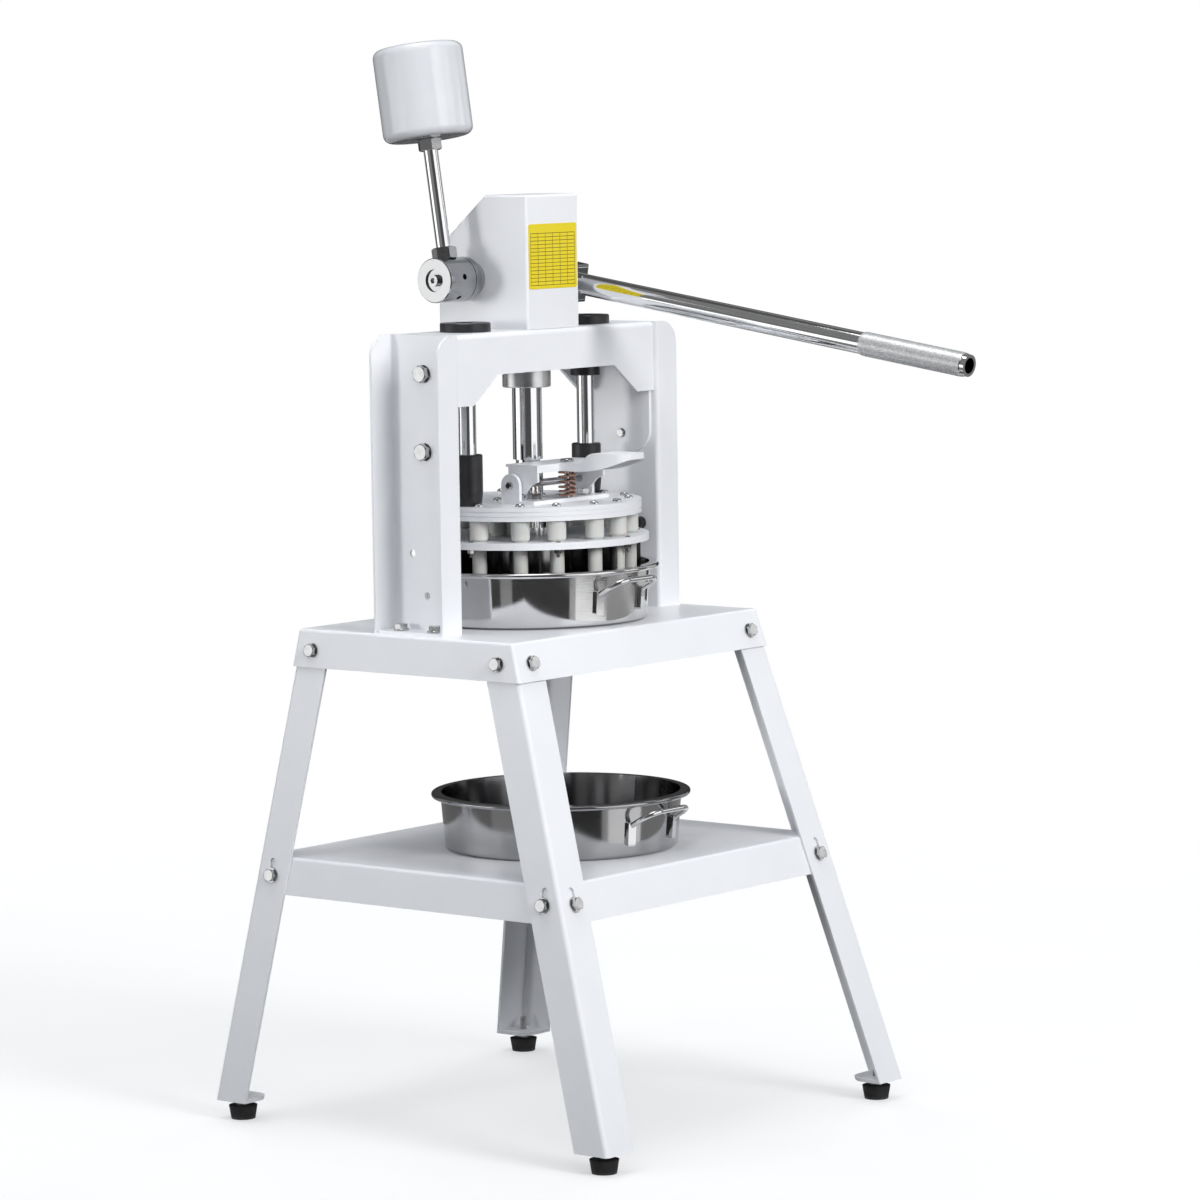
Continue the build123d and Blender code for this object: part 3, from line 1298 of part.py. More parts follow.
strap_middle = strap_low + strap_length / 2
strap_turn = asin((wire_spread - wire_diameter) / 2 / wall_radius(strap_middle))
wall_lean = atan(pan_wall_flare / 2 / pan_height)
bead_radius = pan_bead / 2
bead_x = pan_rim_diameter / 2 - bead_radius
bead_z = pan_height - bead_radius
for name, centre_y, base_z in (
    ("dough_pan", 0, table_height),
    ("spare_pan", -spare_pan_front, shelf_height),
):
    upright = Plane((0, centre_y, base_z), x_dir=(1, 0, 0), z_dir=(0, -1, 0))
    with BuildPart() as pan:
        with BuildSketch(upright) as shell:
            with BuildLine():
                Polyline(
                    (0, 0),
                    (pan_base_diameter / 2, 0),
                    (wall_radius(pan_height - pan_gauge), pan_height - pan_gauge),
                    (bead_x, pan_height - pan_gauge),
                    (bead_x, pan_height),
                    (wall_radius(pan_height) - pan_gauge, pan_height),
                    (wall_radius(pan_gauge) - pan_gauge, pan_gauge),
                    (0, pan_gauge),
                    close=True,
                )
            make_face()
            base_corner = (pan_base_diameter / 2, 0)
            fillet(shell.vertices().sort_by_distance(base_corner)[0], radius=pan_corner)
            inner_corner = (wall_radius(pan_gauge) - pan_gauge, pan_gauge)
            fillet(shell.vertices().sort_by_distance(inner_corner)[0], radius=pan_corner - pan_gauge)
            with Locations((bead_x, bead_z)):
                Circle(bead_radius)
        revolve(axis=Axis((0, centre_y, 0), (0, 0, 1)))
    write(pan.part, name)

    bar_y = centre_y - wire_reach + wire_diameter / 2
    root_reach = wall_radius(wire_root) + wire_seat + strap_gauge / 2
    root_x = root_reach * sin(strap_turn)
    root_y = centre_y - root_reach * cos(strap_turn)
    with BuildPart() as wire:
        with BuildLine() as path:
            FilletPolyline(
                (-root_x, root_y, base_z + wire_root),
                (-root_x, bar_y, base_z + wire_rise),
                (root_x, bar_y, base_z + wire_rise),
                (root_x, root_y, base_z + wire_root),
                radius=wire_bend,
            )
        with BuildSketch(Plane(path.wires()[0] @ 0, z_dir=path.wires()[0] % 0)):
            Circle(wire_diameter / 2)
        sweep()
        for side in (-1, 1):
            wall_point = (
                side * wall_radius(strap_middle) * sin(strap_turn),
                centre_y - wall_radius(strap_middle) * cos(strap_turn),
                base_z + strap_middle,
            )
            wall_way = (
                side * sin(strap_turn) * cos(wall_lean), -cos(strap_turn) * cos(wall_lean), -sin(wall_lean)
            )
            along = (cos(strap_turn), side * sin(strap_turn), 0)
            with BuildSketch(Plane(wall_point, x_dir=along, z_dir=wall_way).offset(wire_seat)):
                RectangleRounded(strap_width, strap_length, strap_round)
            extrude(amount=strap_gauge)
    write(wire.part, f"{name}_handle")

print("crosshead top", round(bridge_top, 2), "mm, shaft at", round(shaft_y, 2), round(shaft_z, 2), "mm")
print("moved back by", round(centre_shift, 3), "mm")
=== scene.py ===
# %% [markdown]
# # A hand-worked dough divider, dressed for its portrait
# The solids of this press were drawn in CAD. They already have the right size and
# move on real joints, so this lesson leaves them where they are. It adds what a drawing
# leaves out: knurling, threads, washers, a wound spring, a ruled plate, and above all the
# finishes of paint, steel, chrome and rubber. Everything is in metres, with the floor at
# zero, the ram upright and the handle pointing to -Y.

# %% Load the solids and keep their box
import json
import math

import bmesh
import bpy
import numpy as np
from mathutils import Matrix, Vector


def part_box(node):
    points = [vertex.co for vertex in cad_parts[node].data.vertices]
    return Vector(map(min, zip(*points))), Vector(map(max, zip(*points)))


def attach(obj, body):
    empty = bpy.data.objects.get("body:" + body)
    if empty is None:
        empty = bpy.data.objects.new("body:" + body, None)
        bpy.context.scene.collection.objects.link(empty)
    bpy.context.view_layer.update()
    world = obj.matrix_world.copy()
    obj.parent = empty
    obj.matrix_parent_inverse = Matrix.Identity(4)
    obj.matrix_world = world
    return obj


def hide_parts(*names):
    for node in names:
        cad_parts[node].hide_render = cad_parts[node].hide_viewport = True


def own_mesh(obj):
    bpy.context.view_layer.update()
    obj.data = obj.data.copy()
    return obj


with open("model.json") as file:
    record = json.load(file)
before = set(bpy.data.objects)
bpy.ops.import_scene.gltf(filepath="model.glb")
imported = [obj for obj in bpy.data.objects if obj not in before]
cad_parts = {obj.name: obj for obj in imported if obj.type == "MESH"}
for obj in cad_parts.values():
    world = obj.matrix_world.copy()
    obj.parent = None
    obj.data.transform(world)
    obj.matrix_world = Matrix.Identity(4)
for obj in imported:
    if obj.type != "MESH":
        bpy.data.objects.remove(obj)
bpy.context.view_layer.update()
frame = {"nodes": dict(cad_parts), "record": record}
scene = bpy.context.scene

# %% [markdown]
# ## The camera
# A product picture is taken from far away with a long lens, so that upright edges stay
# upright. We could place the camera by eye, but a list of corners seen in the picture
# gives its place, its turn, a slight downward look and a tiny roll. The camera's axes are
# written as three vectors, because that shows what each angle does.

# %% Set up the camera
picture_size = 1200
focal_pixels = 5137.4
sensor_width = 36.0
near_clip, far_clip = 0.1, 200.0
camera_place = Vector((-4.4083, -3.4901, 1.1386))
camera_turn = math.radians(-51.219)
camera_dip = math.radians(5.667)
camera_roll = math.radians(-0.855)


def camera_axes(turn, dip, roll):
    """Right, up and backward axes: level axes that are turned, then dipped, then rolled about the view."""
    level = Vector((-math.sin(turn), math.cos(turn), 0))
    right = Vector((math.cos(turn), math.sin(turn), 0))
    plumb = Vector((0, 0, 1))
    ahead = math.cos(dip) * level - math.sin(dip) * plumb
    up = math.sin(dip) * level + math.cos(dip) * plumb
    return (math.cos(roll) * right + math.sin(roll) * up,
            math.cos(roll) * up - math.sin(roll) * right, -ahead)


lens = bpy.data.cameras.new("portrait_lens")
lens.sensor_width = sensor_width
lens.lens = focal_pixels / picture_size * sensor_width
lens.clip_start, lens.clip_end = near_clip, far_clip
camera = bpy.data.objects.new("portrait_camera", lens)
scene.collection.objects.link(camera)
view_axes = camera_axes(camera_turn, camera_dip, camera_roll)
camera.matrix_world = Matrix.Translation(camera_place) @ Matrix(view_axes).transposed().to_4x4()
scene.camera = camera
scene.view_settings.view_transform = "Standard"
print("lens", round(lens.lens, 1), "mm")

# %% [markdown]
# ## Grids of points become meshes
# Nearly every small part here is round: a screw head, a washer, a thread, a coil of wire.
# Each is a grid of points. One direction goes around and closes on itself, the other goes
# along. numpy works out all points at once, and the faces follow from counting. Points
# that fall together at a pole are merged, which turns the quads there into triangles.

# %% Turn grids into a mesh
merge_reach = 2e-6


def grid_faces(shape, first, closed):
    """Four corners of each cell of grids laid out as (copy, around, along), numbered from first."""
    spot = first + np.arange(np.prod(shape)).reshape(shape)
    here = spot if closed else spot[:, :-1]
    ahead = np.roll(spot, -1, axis=1) if closed else spot[:, 1:]
    cells = (here[:, :, :-1], ahead[:, :, :-1], ahead[:, :, 1:], here[:, :, 1:])
    return np.stack(cells, axis=-1).reshape(-1, 4)


def make_piece(name, grids, material, body, crease=35.0):
    """One object from several arrays of grids, merged, facing outward, smooth up to the crease angle."""
    points, faces, first = [], [], 0
    for grid in grids:
        points.append(grid.reshape(-1, 3))
        faces.append(grid_faces(grid.shape[:3], first, True))
        first += len(points[-1])
    points, faces = np.concatenate(points), np.concatenate(faces)
    mesh = bpy.data.meshes.new(name)
    mesh.vertices.add(len(points))
    mesh.vertices.foreach_set("co", points.astype(np.float32).ravel())
    mesh.loops.add(faces.size)
    mesh.loops.foreach_set("vertex_index", faces.astype(np.int32).ravel())
    mesh.polygons.add(len(faces))
    mesh.polygons.foreach_set("loop_start", np.arange(0, faces.size, 4, dtype=np.int32))
    mesh.update(calc_edges=True)
    shell = bmesh.new()
    shell.from_mesh(mesh)
    bmesh.ops.remove_doubles(shell, verts=shell.verts, dist=merge_reach)
    bmesh.ops.recalc_face_normals(shell, faces=shell.faces)
    shell.to_mesh(mesh)
    shell.free()
    mesh.polygons.foreach_set("use_smooth", np.ones(len(mesh.polygons), bool))
    mesh.set_sharp_from_angle(angle=math.radians(crease))
    mesh.materials.append(material)
    piece = bpy.data.objects.new(name, mesh)
    scene.collection.objects.link(piece)
    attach(piece, body)
    print(f"{name}: {len(mesh.polygons)} faces on {body}")
    return piece


# %% [markdown]
# ## Where the solids are
# A new washer has to sit exactly under its bolt. Instead of typing places again, we read
# them from the CAD meshes. Such a mesh is a heap of loose triangles, so corners at the
# same place are made one point first, and points that share triangles get one label.
# Around its own axis every bolt is even, so the spread of its points has two equal
# directions and an odd one, and the odd one is the axis.

# %% Read the separate solids of a node and their axes
place_digits = 6
head_share = 0.9


def loose_solids(node):
    """Points of each separate solid: labels sink to the lowest in their triangle until nothing changes."""
    mesh = frame["nodes"][node].data
    mesh.calc_loop_triangles()
    places = np.empty(len(mesh.vertices) * 3, np.float32)
    mesh.vertices.foreach_get("co", places)
    corners = np.empty(len(mesh.loop_triangles) * 3, np.int32)
    mesh.loop_triangles.foreach_get("vertices", corners)
    rounded = np.round(places.reshape(-1, 3).astype(float), place_digits)
    spots, spot_of = np.unique(rounded, axis=0, return_inverse=True)
    corners = spot_of.reshape(-1)[corners].reshape(-1, 3)
    label = np.arange(len(spots))
    while True:
        lowest = label.copy()
        np.minimum.at(lowest, corners.ravel(), np.repeat(label[corners].min(axis=1), 3))
        lowest = lowest[lowest]
        if np.array_equal(lowest, label):
            return [spots[label == k] for k in np.unique(label)]
        label = lowest


def own_axis(points):
    """Centre and axis of an even solid: the direction whose spread differs from the other two."""
    centre = (points.min(axis=0) + points.max(axis=0)) / 2
    spread, ways = np.linalg.eigh(np.cov(points.T))
    return centre, ways[:, 2] if spread[2] - spread[1] > spread[1] - spread[0] else ways[:, 0]


def fastener_seats(node):
    """Seat points, axes towards the head, head heights and tail lengths of a node's bolts, or of its nuts."""
    seats, axes, heads, tails = [], [], [], []
    for points in loose_solids(node):
        centre, axis = own_axis(points)
        along = (points - centre) @ axis
        out = np.linalg.norm(points - centre - along[:, None] * axis, axis=1)
        wide = along[out > head_share * out.max()]
        if wide.mean() < (along.min() + along.max()) / 2:
            axis, along, wide = -axis, -along, -wide
        seats.append(centre + wide.min() * axis)
        axes.append(axis)
        heads.append(along.max() - wide.min())
        tails.append(wide.min() - along.min())
    return np.array(seats), np.array(axes), np.array(heads), np.array(tails)


for node in ("stand_bolts", "base_bolts", "crosshead_bolts", "bracket_bolts", "m8_nuts"):
    seats, axes, heads, tails = fastener_seats(node)
    print(node, len(seats), "head", heads.round(4)[0], "tail", tails.round(4)[0])

# %% [markdown]
# ## Patterns shared by many finishes
# Real finishes are never one flat colour. Paint has a fine orange peel, metal keeps the
# lines of the lathe or the drawing die, and every surface is a little cloudy. These
# effects return in many materials, so each is a shader node group with named sockets.
# The groups put out plain values, and the shader itself stays in each material.

# %% Helpers for node trees
def add_node(tree, kind, inputs=None, **settings):
    """New node with its settings and input values; an output socket given as a value is linked."""
    node = tree.nodes.new("ShaderNode" + kind)
    for key, value in settings.items():
        setattr(node, key, value)
    for key, value in (inputs or {}).items():
        if isinstance(value, bpy.types.NodeSocket):
            tree.links.new(value, node.inputs[key])
        else:
            node.inputs[key].default_value = value
    return node


def start_group(name, inputs, outputs):
    """Empty shader group with the given sockets, its input node's sockets and its output node's sockets."""
    group = bpy.data.node_groups.new(name, "ShaderNodeTree")
    for label, kind, value in inputs:
        socket = group.interface.new_socket(name=label, in_out="INPUT", socket_type="NodeSocket" + kind)
        socket.default_value = value
    for label in outputs:
        group.interface.new_socket(name=label, in_out="OUTPUT", socket_type="NodeSocketFloat")
    return group, group.nodes.new("NodeGroupInput").outputs, group.nodes.new("NodeGroupOutput").inputs


origin = (0.0, 0.0, 0.0)
up_axis = (0.0, 0.0, 1.0)
cross_axis = (1.0, 0.0, 0.0)
print("axes", up_axis, cross_axis)

# %% Cloud: a soft uneven value between two limits
noise_low, noise_high = 0.32, 0.68
tree, given, result = start_group(
    "soft_cloud", [("Vector", "Vector", origin), ("Scale", "Float", 20.0), ("Low", "Float", 0.0),
                   ("High", "Float", 1.0)], ["Value"])
soft_cloud = tree
noise = add_node(tree, "TexNoise", {"Vector": given["Vector"], "Scale": given["Scale"], "Detail": 3.0})
spread = add_node(tree, "MapRange", {"Value": noise.outputs["Fac"], "From Min": noise_low,
                                     "From Max": noise_high, "To Min": given["Low"], "To Max": given["High"]})
tree.links.new(spread.outputs["Result"], result["Value"])
print("group", tree.name)

# %% Orange peel: two sizes of soft dimples, as sprayed powder leaves them
finer_times, finer_share = 3.3, 0.35
tree, given, result = start_group(
    "orange_peel", [("Vector", "Vector", origin), ("Scale", "Float", 500.0)], ["Height"])
orange_peel = tree
coarse = add_node(tree, "TexNoise", {"Vector": given["Vector"], "Scale": given["Scale"], "Detail": 1.0})
finer = add_node(tree, "Math", {0: given["Scale"], 1: finer_times}, operation="MULTIPLY")
fine = add_node(tree, "TexNoise", {"Vector": given["Vector"], "Scale": finer.outputs[0], "Detail": 1.0})
both = add_node(tree, "Math", {0: fine.outputs["Fac"], 1: finer_share, 2: coarse.outputs["Fac"]},
                operation="MULTIPLY_ADD")
tree.links.new(both.outputs[0], result["Height"])
print("group", tree.name)

# %% Turning marks: rings that follow the distance from an axis and the way along it
tree, given, result = start_group(
    "turning_marks", [("Vector", "Vector", origin), ("Centre", "Vector", origin),
                      ("Axis", "Vector", up_axis), ("Lines", "Float", 900.0)], ["Height"])
turning_marks = tree
offset = add_node(tree, "VectorMath", {0: given["Vector"], 1: given["Centre"]}, operation="SUBTRACT")
along = add_node(tree, "VectorMath", {0: offset.outputs[0], 1: given["Axis"]}, operation="DOT_PRODUCT")
shadow = add_node(tree, "VectorMath", {0: given["Axis"], "Scale": along.outputs["Value"]}, operation="SCALE")
across = add_node(tree, "VectorMath", {0: offset.outputs[0], 1: shadow.outputs[0]}, operation="DISTANCE")
path = add_node(tree, "Math", {0: along.outputs["Value"], 1: across.outputs["Value"]}, operation="ADD")
count = add_node(tree, "Math", {0: path.outputs[0], 1: given["Lines"]}, operation="MULTIPLY")
rings = add_node(tree, "TexNoise", {"W": count.outputs[0], "Scale": 1.0, "Detail": 4.0, "Roughness": 0.65},
                 noise_dimensions="1D")
tree.links.new(rings.outputs["Fac"], result["Height"])
print("group", tree.name)

# %% Drawn streaks: noise stretched along one direction, as on wire, bar and rolled sheet
tree, given, result = start_group(
    "drawn_streaks", [("Vector", "Vector", origin), ("Stretch", "Vector", (900.0, 900.0, 20.0))], ["Height"])
drawn_streaks = tree
pulled = add_node(tree, "VectorMath", {0: given["Vector"], 1: given["Stretch"]}, operation="MULTIPLY")
streaks = add_node(tree, "TexNoise", {"Vector": pulled.outputs[0], "Scale": 1.0, "Detail": 3.0})
tree.links.new(streaks.outputs["Fac"], result["Height"])
print("group", tree.name)

# %% Inner side of a cone: one within a radius that grows with the height, else zero
tree, given, result = start_group(
    "inner_side", [("Vector", "Vector", origin), ("Foot", "Vector", origin), ("Radius", "Float", 0.1),
                   ("Slope", "Float", 0.0)], ["Value"])
inner_side = tree
offset = add_node(tree, "VectorMath", {0: given["Vector"], 1: given["Foot"]}, operation="SUBTRACT")
parts = add_node(tree, "SeparateXYZ", {0: offset.outputs[0]}).outputs
flat = add_node(tree, "CombineXYZ", {"X": parts["X"], "Y": parts["Y"]})
reach = add_node(tree, "VectorMath", {0: flat.outputs[0]}, operation="LENGTH")
limit = add_node(tree, "Math", {0: parts["Z"], 1: given["Slope"], 2: given["Radius"]},
                 operation="MULTIPLY_ADD")
within = add_node(tree, "Math", {0: reach.outputs["Value"], 1: limit.outputs[0]}, operation="LESS_THAN")
tree.links.new(within.outputs[0], result["Value"])
print("group", tree.name)

# %% End face: one beyond a plane square to an axis, else zero
tree, given, result = start_group(
    "end_face", [("Vector", "Vector", origin), ("Axis", "Vector", cross_axis), ("Place", "Float", 0.0)],
    ["Value"])
end_face = tree
along = add_node(tree, "VectorMath", {0: given["Vector"], 1: given["Axis"]}, operation="DOT_PRODUCT")
beyond = add_node(tree, "Math", {0: along.outputs["Value"], 1: given["Place"]}, operation="GREATER_THAN")
tree.links.new(beyond.outputs[0], result["Value"])
print("group", tree.name)

# %% [markdown]
# ## The finishes
# One small function builds any finish from the groups: a cloudy colour between two
# close tones, a cloudy roughness between two limits, and a relief that feeds a Bump node.
# An accent is a second tone where a mask is one. What makes paint paint and chrome chrome
# is then a handful of numbers.

# %% A recipe for every finish
sheen_times = 2.3


def empty_material(name):
    """New material without nodes, and its node tree."""
    material = bpy.data.materials.new(name)
    material.use_nodes = True
    material.node_tree.nodes.clear()
    return material, material.node_tree


def mix_tones(tree, factor, first, second):
    """Colour socket that goes from the first tone to the second; each is three numbers or a colour socket."""
    mix = add_node(tree, "Mix", {"Factor": factor}, data_type="RGBA")
    for label, tone in (("A", first), ("B", second)):
        socket = next(s for s in mix.inputs if s.name == label and s.type == "RGBA")
        if isinstance(tone, bpy.types.NodeSocket):
            tree.links.new(tone, socket)
        else:
            socket.default_value = (*tone, 1.0)
    return next(s for s in mix.outputs if s.type == "RGBA")


def finish(name, tones, gloss, relief, depth, strength, cloud=18.0, metallic=0.0, settings=None, accent=None):
    """Cloudy material; relief is (height group, its values) and accent (mask group, its values, tone)."""
    material, tree = empty_material(name)
    here = add_node(tree, "TexCoord").outputs["Object"]
    patch = add_node(tree, "Group", {"Vector": here, "Scale": cloud}, node_tree=soft_cloud)
    sheen = add_node(tree, "Group", {"Vector": here, "Scale": sheen_times * cloud, "Low": gloss[0],
                                     "High": gloss[1]}, node_tree=soft_cloud)
    tint = mix_tones(tree, patch.outputs["Value"], *tones)
    if accent:
        mask_group, mask_values, mask_tone = accent
        mask = add_node(tree, "Group", {"Vector": here, **mask_values}, node_tree=mask_group)
        tint = mix_tones(tree, mask.outputs["Value"], tint, mask_tone)
    height_group, height_values = relief
    marks = add_node(tree, "Group", {"Vector": here, **height_values}, node_tree=height_group)
    bump = add_node(tree, "Bump", {"Height": marks.outputs["Height"], "Distance": depth,
                                   "Strength": strength})
    shader = add_node(tree, "BsdfPrincipled", {
        "Base Color": tint, "Roughness": sheen.outputs["Value"], "Normal": bump.outputs["Normal"],
        "Metallic": metallic, **(settings or {})})
    add_node(tree, "OutputMaterial", {"Surface": shader.outputs["BSDF"]})
    return material


def middle(node):
    """Centre of a solid's box as three numbers."""
    low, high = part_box(node)
    return ((low + high) / 2).to_tuple()


ram_centre = middle("ram")
print("ram's middle", np.round(ram_centre, 4))

# %% [markdown]
# ## Paint and plastics
# The sheet parts are powder coated: white with a hint of blue, half gloss, and dimpled
# like orange skin at about two millimetres. The weight on the arm is sprayed smoother and
# shinier. The spacers are cream nylon, the guides black acetal with faint lathe rings, and
# the feet matt rubber.

# %% Mix the paints and plastics
white_paint = finish("white_paint", ((0.835, 0.84, 0.86), (0.855, 0.86, 0.88)), (0.30, 0.40),
                     (orange_peel, {"Scale": 520.0}), 0.00045, 0.22)
gloss_paint = finish("gloss_paint", ((0.66, 0.67, 0.695), (0.69, 0.70, 0.72)), (0.10, 0.16),
                     (orange_peel, {"Scale": 240.0}), 0.0003, 0.10, settings={"Coat Weight": 0.4})
cream_nylon = finish("cream_nylon", ((0.60, 0.60, 0.575), (0.65, 0.645, 0.615)), (0.38, 0.52),
                     (turning_marks, {"Lines": 1400.0}), 0.0002, 0.15, cloud=45.0,
                     settings={"Subsurface Weight": 0.15, "Subsurface Scale": 0.004})
black_acetal = finish("black_acetal", ((0.012, 0.012, 0.014), (0.022, 0.022, 0.024)), (0.28, 0.42),
                      (turning_marks, {"Lines": 1600.0}), 0.0003, 0.2, cloud=60.0)
black_rubber = finish("black_rubber", ((0.009, 0.009, 0.01), (0.02, 0.02, 0.021)), (0.55, 0.75),
                      (orange_peel, {"Scale": 1500.0}), 0.0003, 0.35, cloud=80.0)
print("mixed", [m.name for m in (white_paint, gloss_paint, cream_nylon, black_acetal, black_rubber)])

# %% [markdown]
# ## Bare steel
# Bare metal takes its colour from its reflections, so its own tone says little and its
# roughness does the work. Chrome is nearly a mirror, and zinc on the bolts is duller and
# spotted. Turned steel shows the lathe's lines. The hubs are painted darker, as painted
# shade for their dark reflections, and the one at the weight has its faced end painted
# brighter, as a painted highlight, so a plane just behind that end tells the two apart.

# %% Mix chrome, zinc and turned steel
chrome = finish("chrome", ((0.78, 0.785, 0.80), (0.83, 0.835, 0.84)), (0.05, 0.09),
                (drawn_streaks, {"Stretch": (700.0, 700.0, 25.0)}), 0.0001, 0.02, cloud=30.0, metallic=1.0)
zinc_steel = finish("zinc_steel", ((0.47, 0.475, 0.485), (0.55, 0.55, 0.55)), (0.12, 0.18),
                    (orange_peel, {"Scale": 1300.0}), 0.0002, 0.12, cloud=120.0, metallic=1.0)
dark_steel = finish("dark_steel", ((0.07, 0.07, 0.075), (0.12, 0.12, 0.125)), (0.28, 0.40),
                    (orange_peel, {"Scale": 1400.0}), 0.0002, 0.15, cloud=110.0, metallic=1.0)
shaft_rings = (turning_marks, {"Lines": 1500.0, "Axis": cross_axis, "Centre": middle("pinion")})
turned_steel = finish("turned_steel", ((0.47, 0.475, 0.485), (0.52, 0.525, 0.53)), (0.10, 0.17),
                      shaft_rings, 0.0003, 0.07, cloud=50.0, metallic=1.0)
face_depth = 0.0015
hub_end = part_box("counterweight_hub")[0].x
hub_face_painted_highlight = {"Axis": (-1.0, 0.0, 0.0), "Place": -hub_end - face_depth}
# Painted light: the darker hub tone is painted shade and the brighter end-face tone a painted highlight.
hub_steel_painted_shade_and_highlight = finish("hub_steel_painted_shade_and_highlight", ((0.33, 0.335, 0.345), (0.38, 0.385, 0.39)), (0.10, 0.17),
                   shaft_rings, 0.0003, 0.07, cloud=50.0, metallic=1.0,
                   accent=(end_face, hub_face_painted_highlight, (0.52, 0.525, 0.53)))
print("mixed", [m.name for m in (chrome, zinc_steel, dark_steel, turned_steel, hub_steel_painted_shade_and_highlight)])

# %% [markdown]
# ## Pans and knives
# The pans are polished stainless with spun rings outside. Inside they are painted dark, as
# painted shade and dark reflection, and the spare pan is painted darker all over as painted
# shade. The wall is a cone, so a radius that grows with the height tells the two sides
# apart. The knives are plain dark strip, drawn in one direction.

# %% Mix the steel of pans and knives
wall_radius, wall_slope = 0.1294, 5 / 63


def pan_cone(node):
    """Foot point, radius and slope of the surface halfway through a pan's wall."""
    low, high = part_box(node)
    foot = ((low.x + high.x) / 2, (low.y + high.y) / 2, low.z)
    return {"Foot": foot, "Radius": wall_radius, "Slope": wall_slope}


stainless = finish("stainless", ((0.70, 0.70, 0.705), (0.77, 0.77, 0.77)), (0.05, 0.10),
                   (drawn_streaks, {"Stretch": (300.0, 300.0, 300.0)}), 0.0001, 0.04, cloud=14.0,
                   metallic=1.0)
# Painted shade: the dark inner tone stands in for the shade and dark reflections inside the pan.
pan_steel_painted_inner_shade = finish("pan_steel_painted_inner_shade", ((0.73, 0.73, 0.735), (0.78, 0.78, 0.78)), (0.06, 0.11),
                   (turning_marks, {"Lines": 900.0, "Centre": ram_centre}), 0.0002, 0.05, cloud=14.0,
                   metallic=1.0, accent=(inner_side, pan_cone("dough_pan"), (0.26, 0.26, 0.265)))
# Painted shade: the spare pan's darker tones, darker still inside, stand in for the shade it sits in.
spare_steel_painted_shade = finish("spare_steel_painted_shade", ((0.38, 0.38, 0.39), (0.44, 0.44, 0.445)), (0.08, 0.13),
                     (turning_marks, {"Lines": 900.0, "Centre": middle("spare_pan")}), 0.0002, 0.06,
                     cloud=14.0, metallic=1.0,
                     accent=(inner_side, pan_cone("spare_pan"), (0.30, 0.30, 0.305)))
blade_steel = finish("blade_steel", ((0.24, 0.24, 0.245), (0.31, 0.31, 0.31)), (0.12, 0.22),
                     (drawn_streaks, {"Stretch": (60.0, 60.0, 700.0)}), 0.0002, 0.08, cloud=30.0,
                     metallic=1.0)
print("mixed", [m.name for m in (stainless, pan_steel_painted_inner_shade, spare_steel_painted_shade, blade_steel)])

# %% [markdown]
# ## Aluminium, copper and the knurl
# The bush of the ram is turned aluminium, matt with clear rings. The latch spring is wound
# from copper-coloured wire. Knurling scatters light like frost, so the grip's finish is
# only half a metal.

# %% Mix the other metals
aluminium = finish("aluminium", ((0.66, 0.665, 0.675), (0.74, 0.745, 0.75)), (0.26, 0.36),
                   (turning_marks, {"Lines": 1300.0, "Centre": ram_centre}), 0.0003, 0.3, cloud=40.0,
                   metallic=1.0)
copper_wire = finish("copper_wire", ((0.40, 0.22, 0.16), (0.58, 0.36, 0.28)), (0.12, 0.22),
                     (orange_peel, {"Scale": 1800.0}), 0.0002, 0.2, cloud=150.0, metallic=1.0)
knurled_steel = finish("knurled_steel", ((0.66, 0.665, 0.675), (0.74, 0.745, 0.75)), (0.22, 0.32),
                       (orange_peel, {"Scale": 1600.0}), 0.0002, 0.15, cloud=90.0, metallic=0.55)
print("mixed", [m.name for m in (aluminium, copper_wire, knurled_steel)])

# %% [markdown]
# ## Dress the solids
# Every CAD solid names a material slot in its record. A table from slot to finish dresses
# them all, and a few pieces then get a finish of their own. Of the bronze bushes only the
# steel-grey flanges show, so they take the turned steel.

# %% Assign the finishes
slot_finish = {"white_paint": white_paint, "zinc_steel": zinc_steel, "chrome": chrome,
               "machined_steel": turned_steel, "stainless": stainless, "aluminium": aluminium,
               "black_polymer": black_acetal, "rubber": black_rubber, "nylon": cream_nylon,
               "bronze": turned_steel, "spring_wire": copper_wire}
own_finish = {"counterweight": gloss_paint, "dough_pan": pan_steel_painted_inner_shade, "spare_pan": spare_steel_painted_shade,
              "knife_ring": blade_steel, "radial_knives": blade_steel, "centre_knife": blade_steel,
              "counterweight_hub": hub_steel_painted_shade_and_highlight, "handle_hub": hub_steel_painted_shade_and_highlight, "dome_screws": chrome}
for part in frame["record"]["subparts"]:
    node = part["node"]
    slots = frame["nodes"][node].data.materials
    slots.clear()
    slots.append(own_finish.get(node, slot_finish[part["material_slot"]]))

# %% [markdown]
# ## The floor
# The background is white paper. Seen straight or in metal it glows at exactly 1, which is
# white, and only near the object it lets part of its own shading through, so that the
# shadow shows. For the light that bounces the paper is dimmed, or it would light the
# undersides.

# %% Mix the paper
shadow_near, shadow_far = 0.75, 2.6
paper_glow = 0.45
bounce_share = 0.12
paper_low, paper_high, fibre_scale = 0.90, 0.93, 3.0
paper_rough, paper_shine = 0.85, 0.15
full_white = (1.0, 1.0, 1.0, 1.0)


def seen_directly(tree):
    """One for rays from the camera, from mirrors and through glass, and zero for the light that bounces."""
    rays = add_node(tree, "LightPath").outputs
    mirror = add_node(tree, "Math", {0: rays["Is Camera Ray"], 1: rays["Is Glossy Ray"]}, operation="MAXIMUM")
    return add_node(tree, "Math", {0: mirror.outputs[0], 1: rays["Is Transmission Ray"]},
                    operation="MAXIMUM").outputs[0]


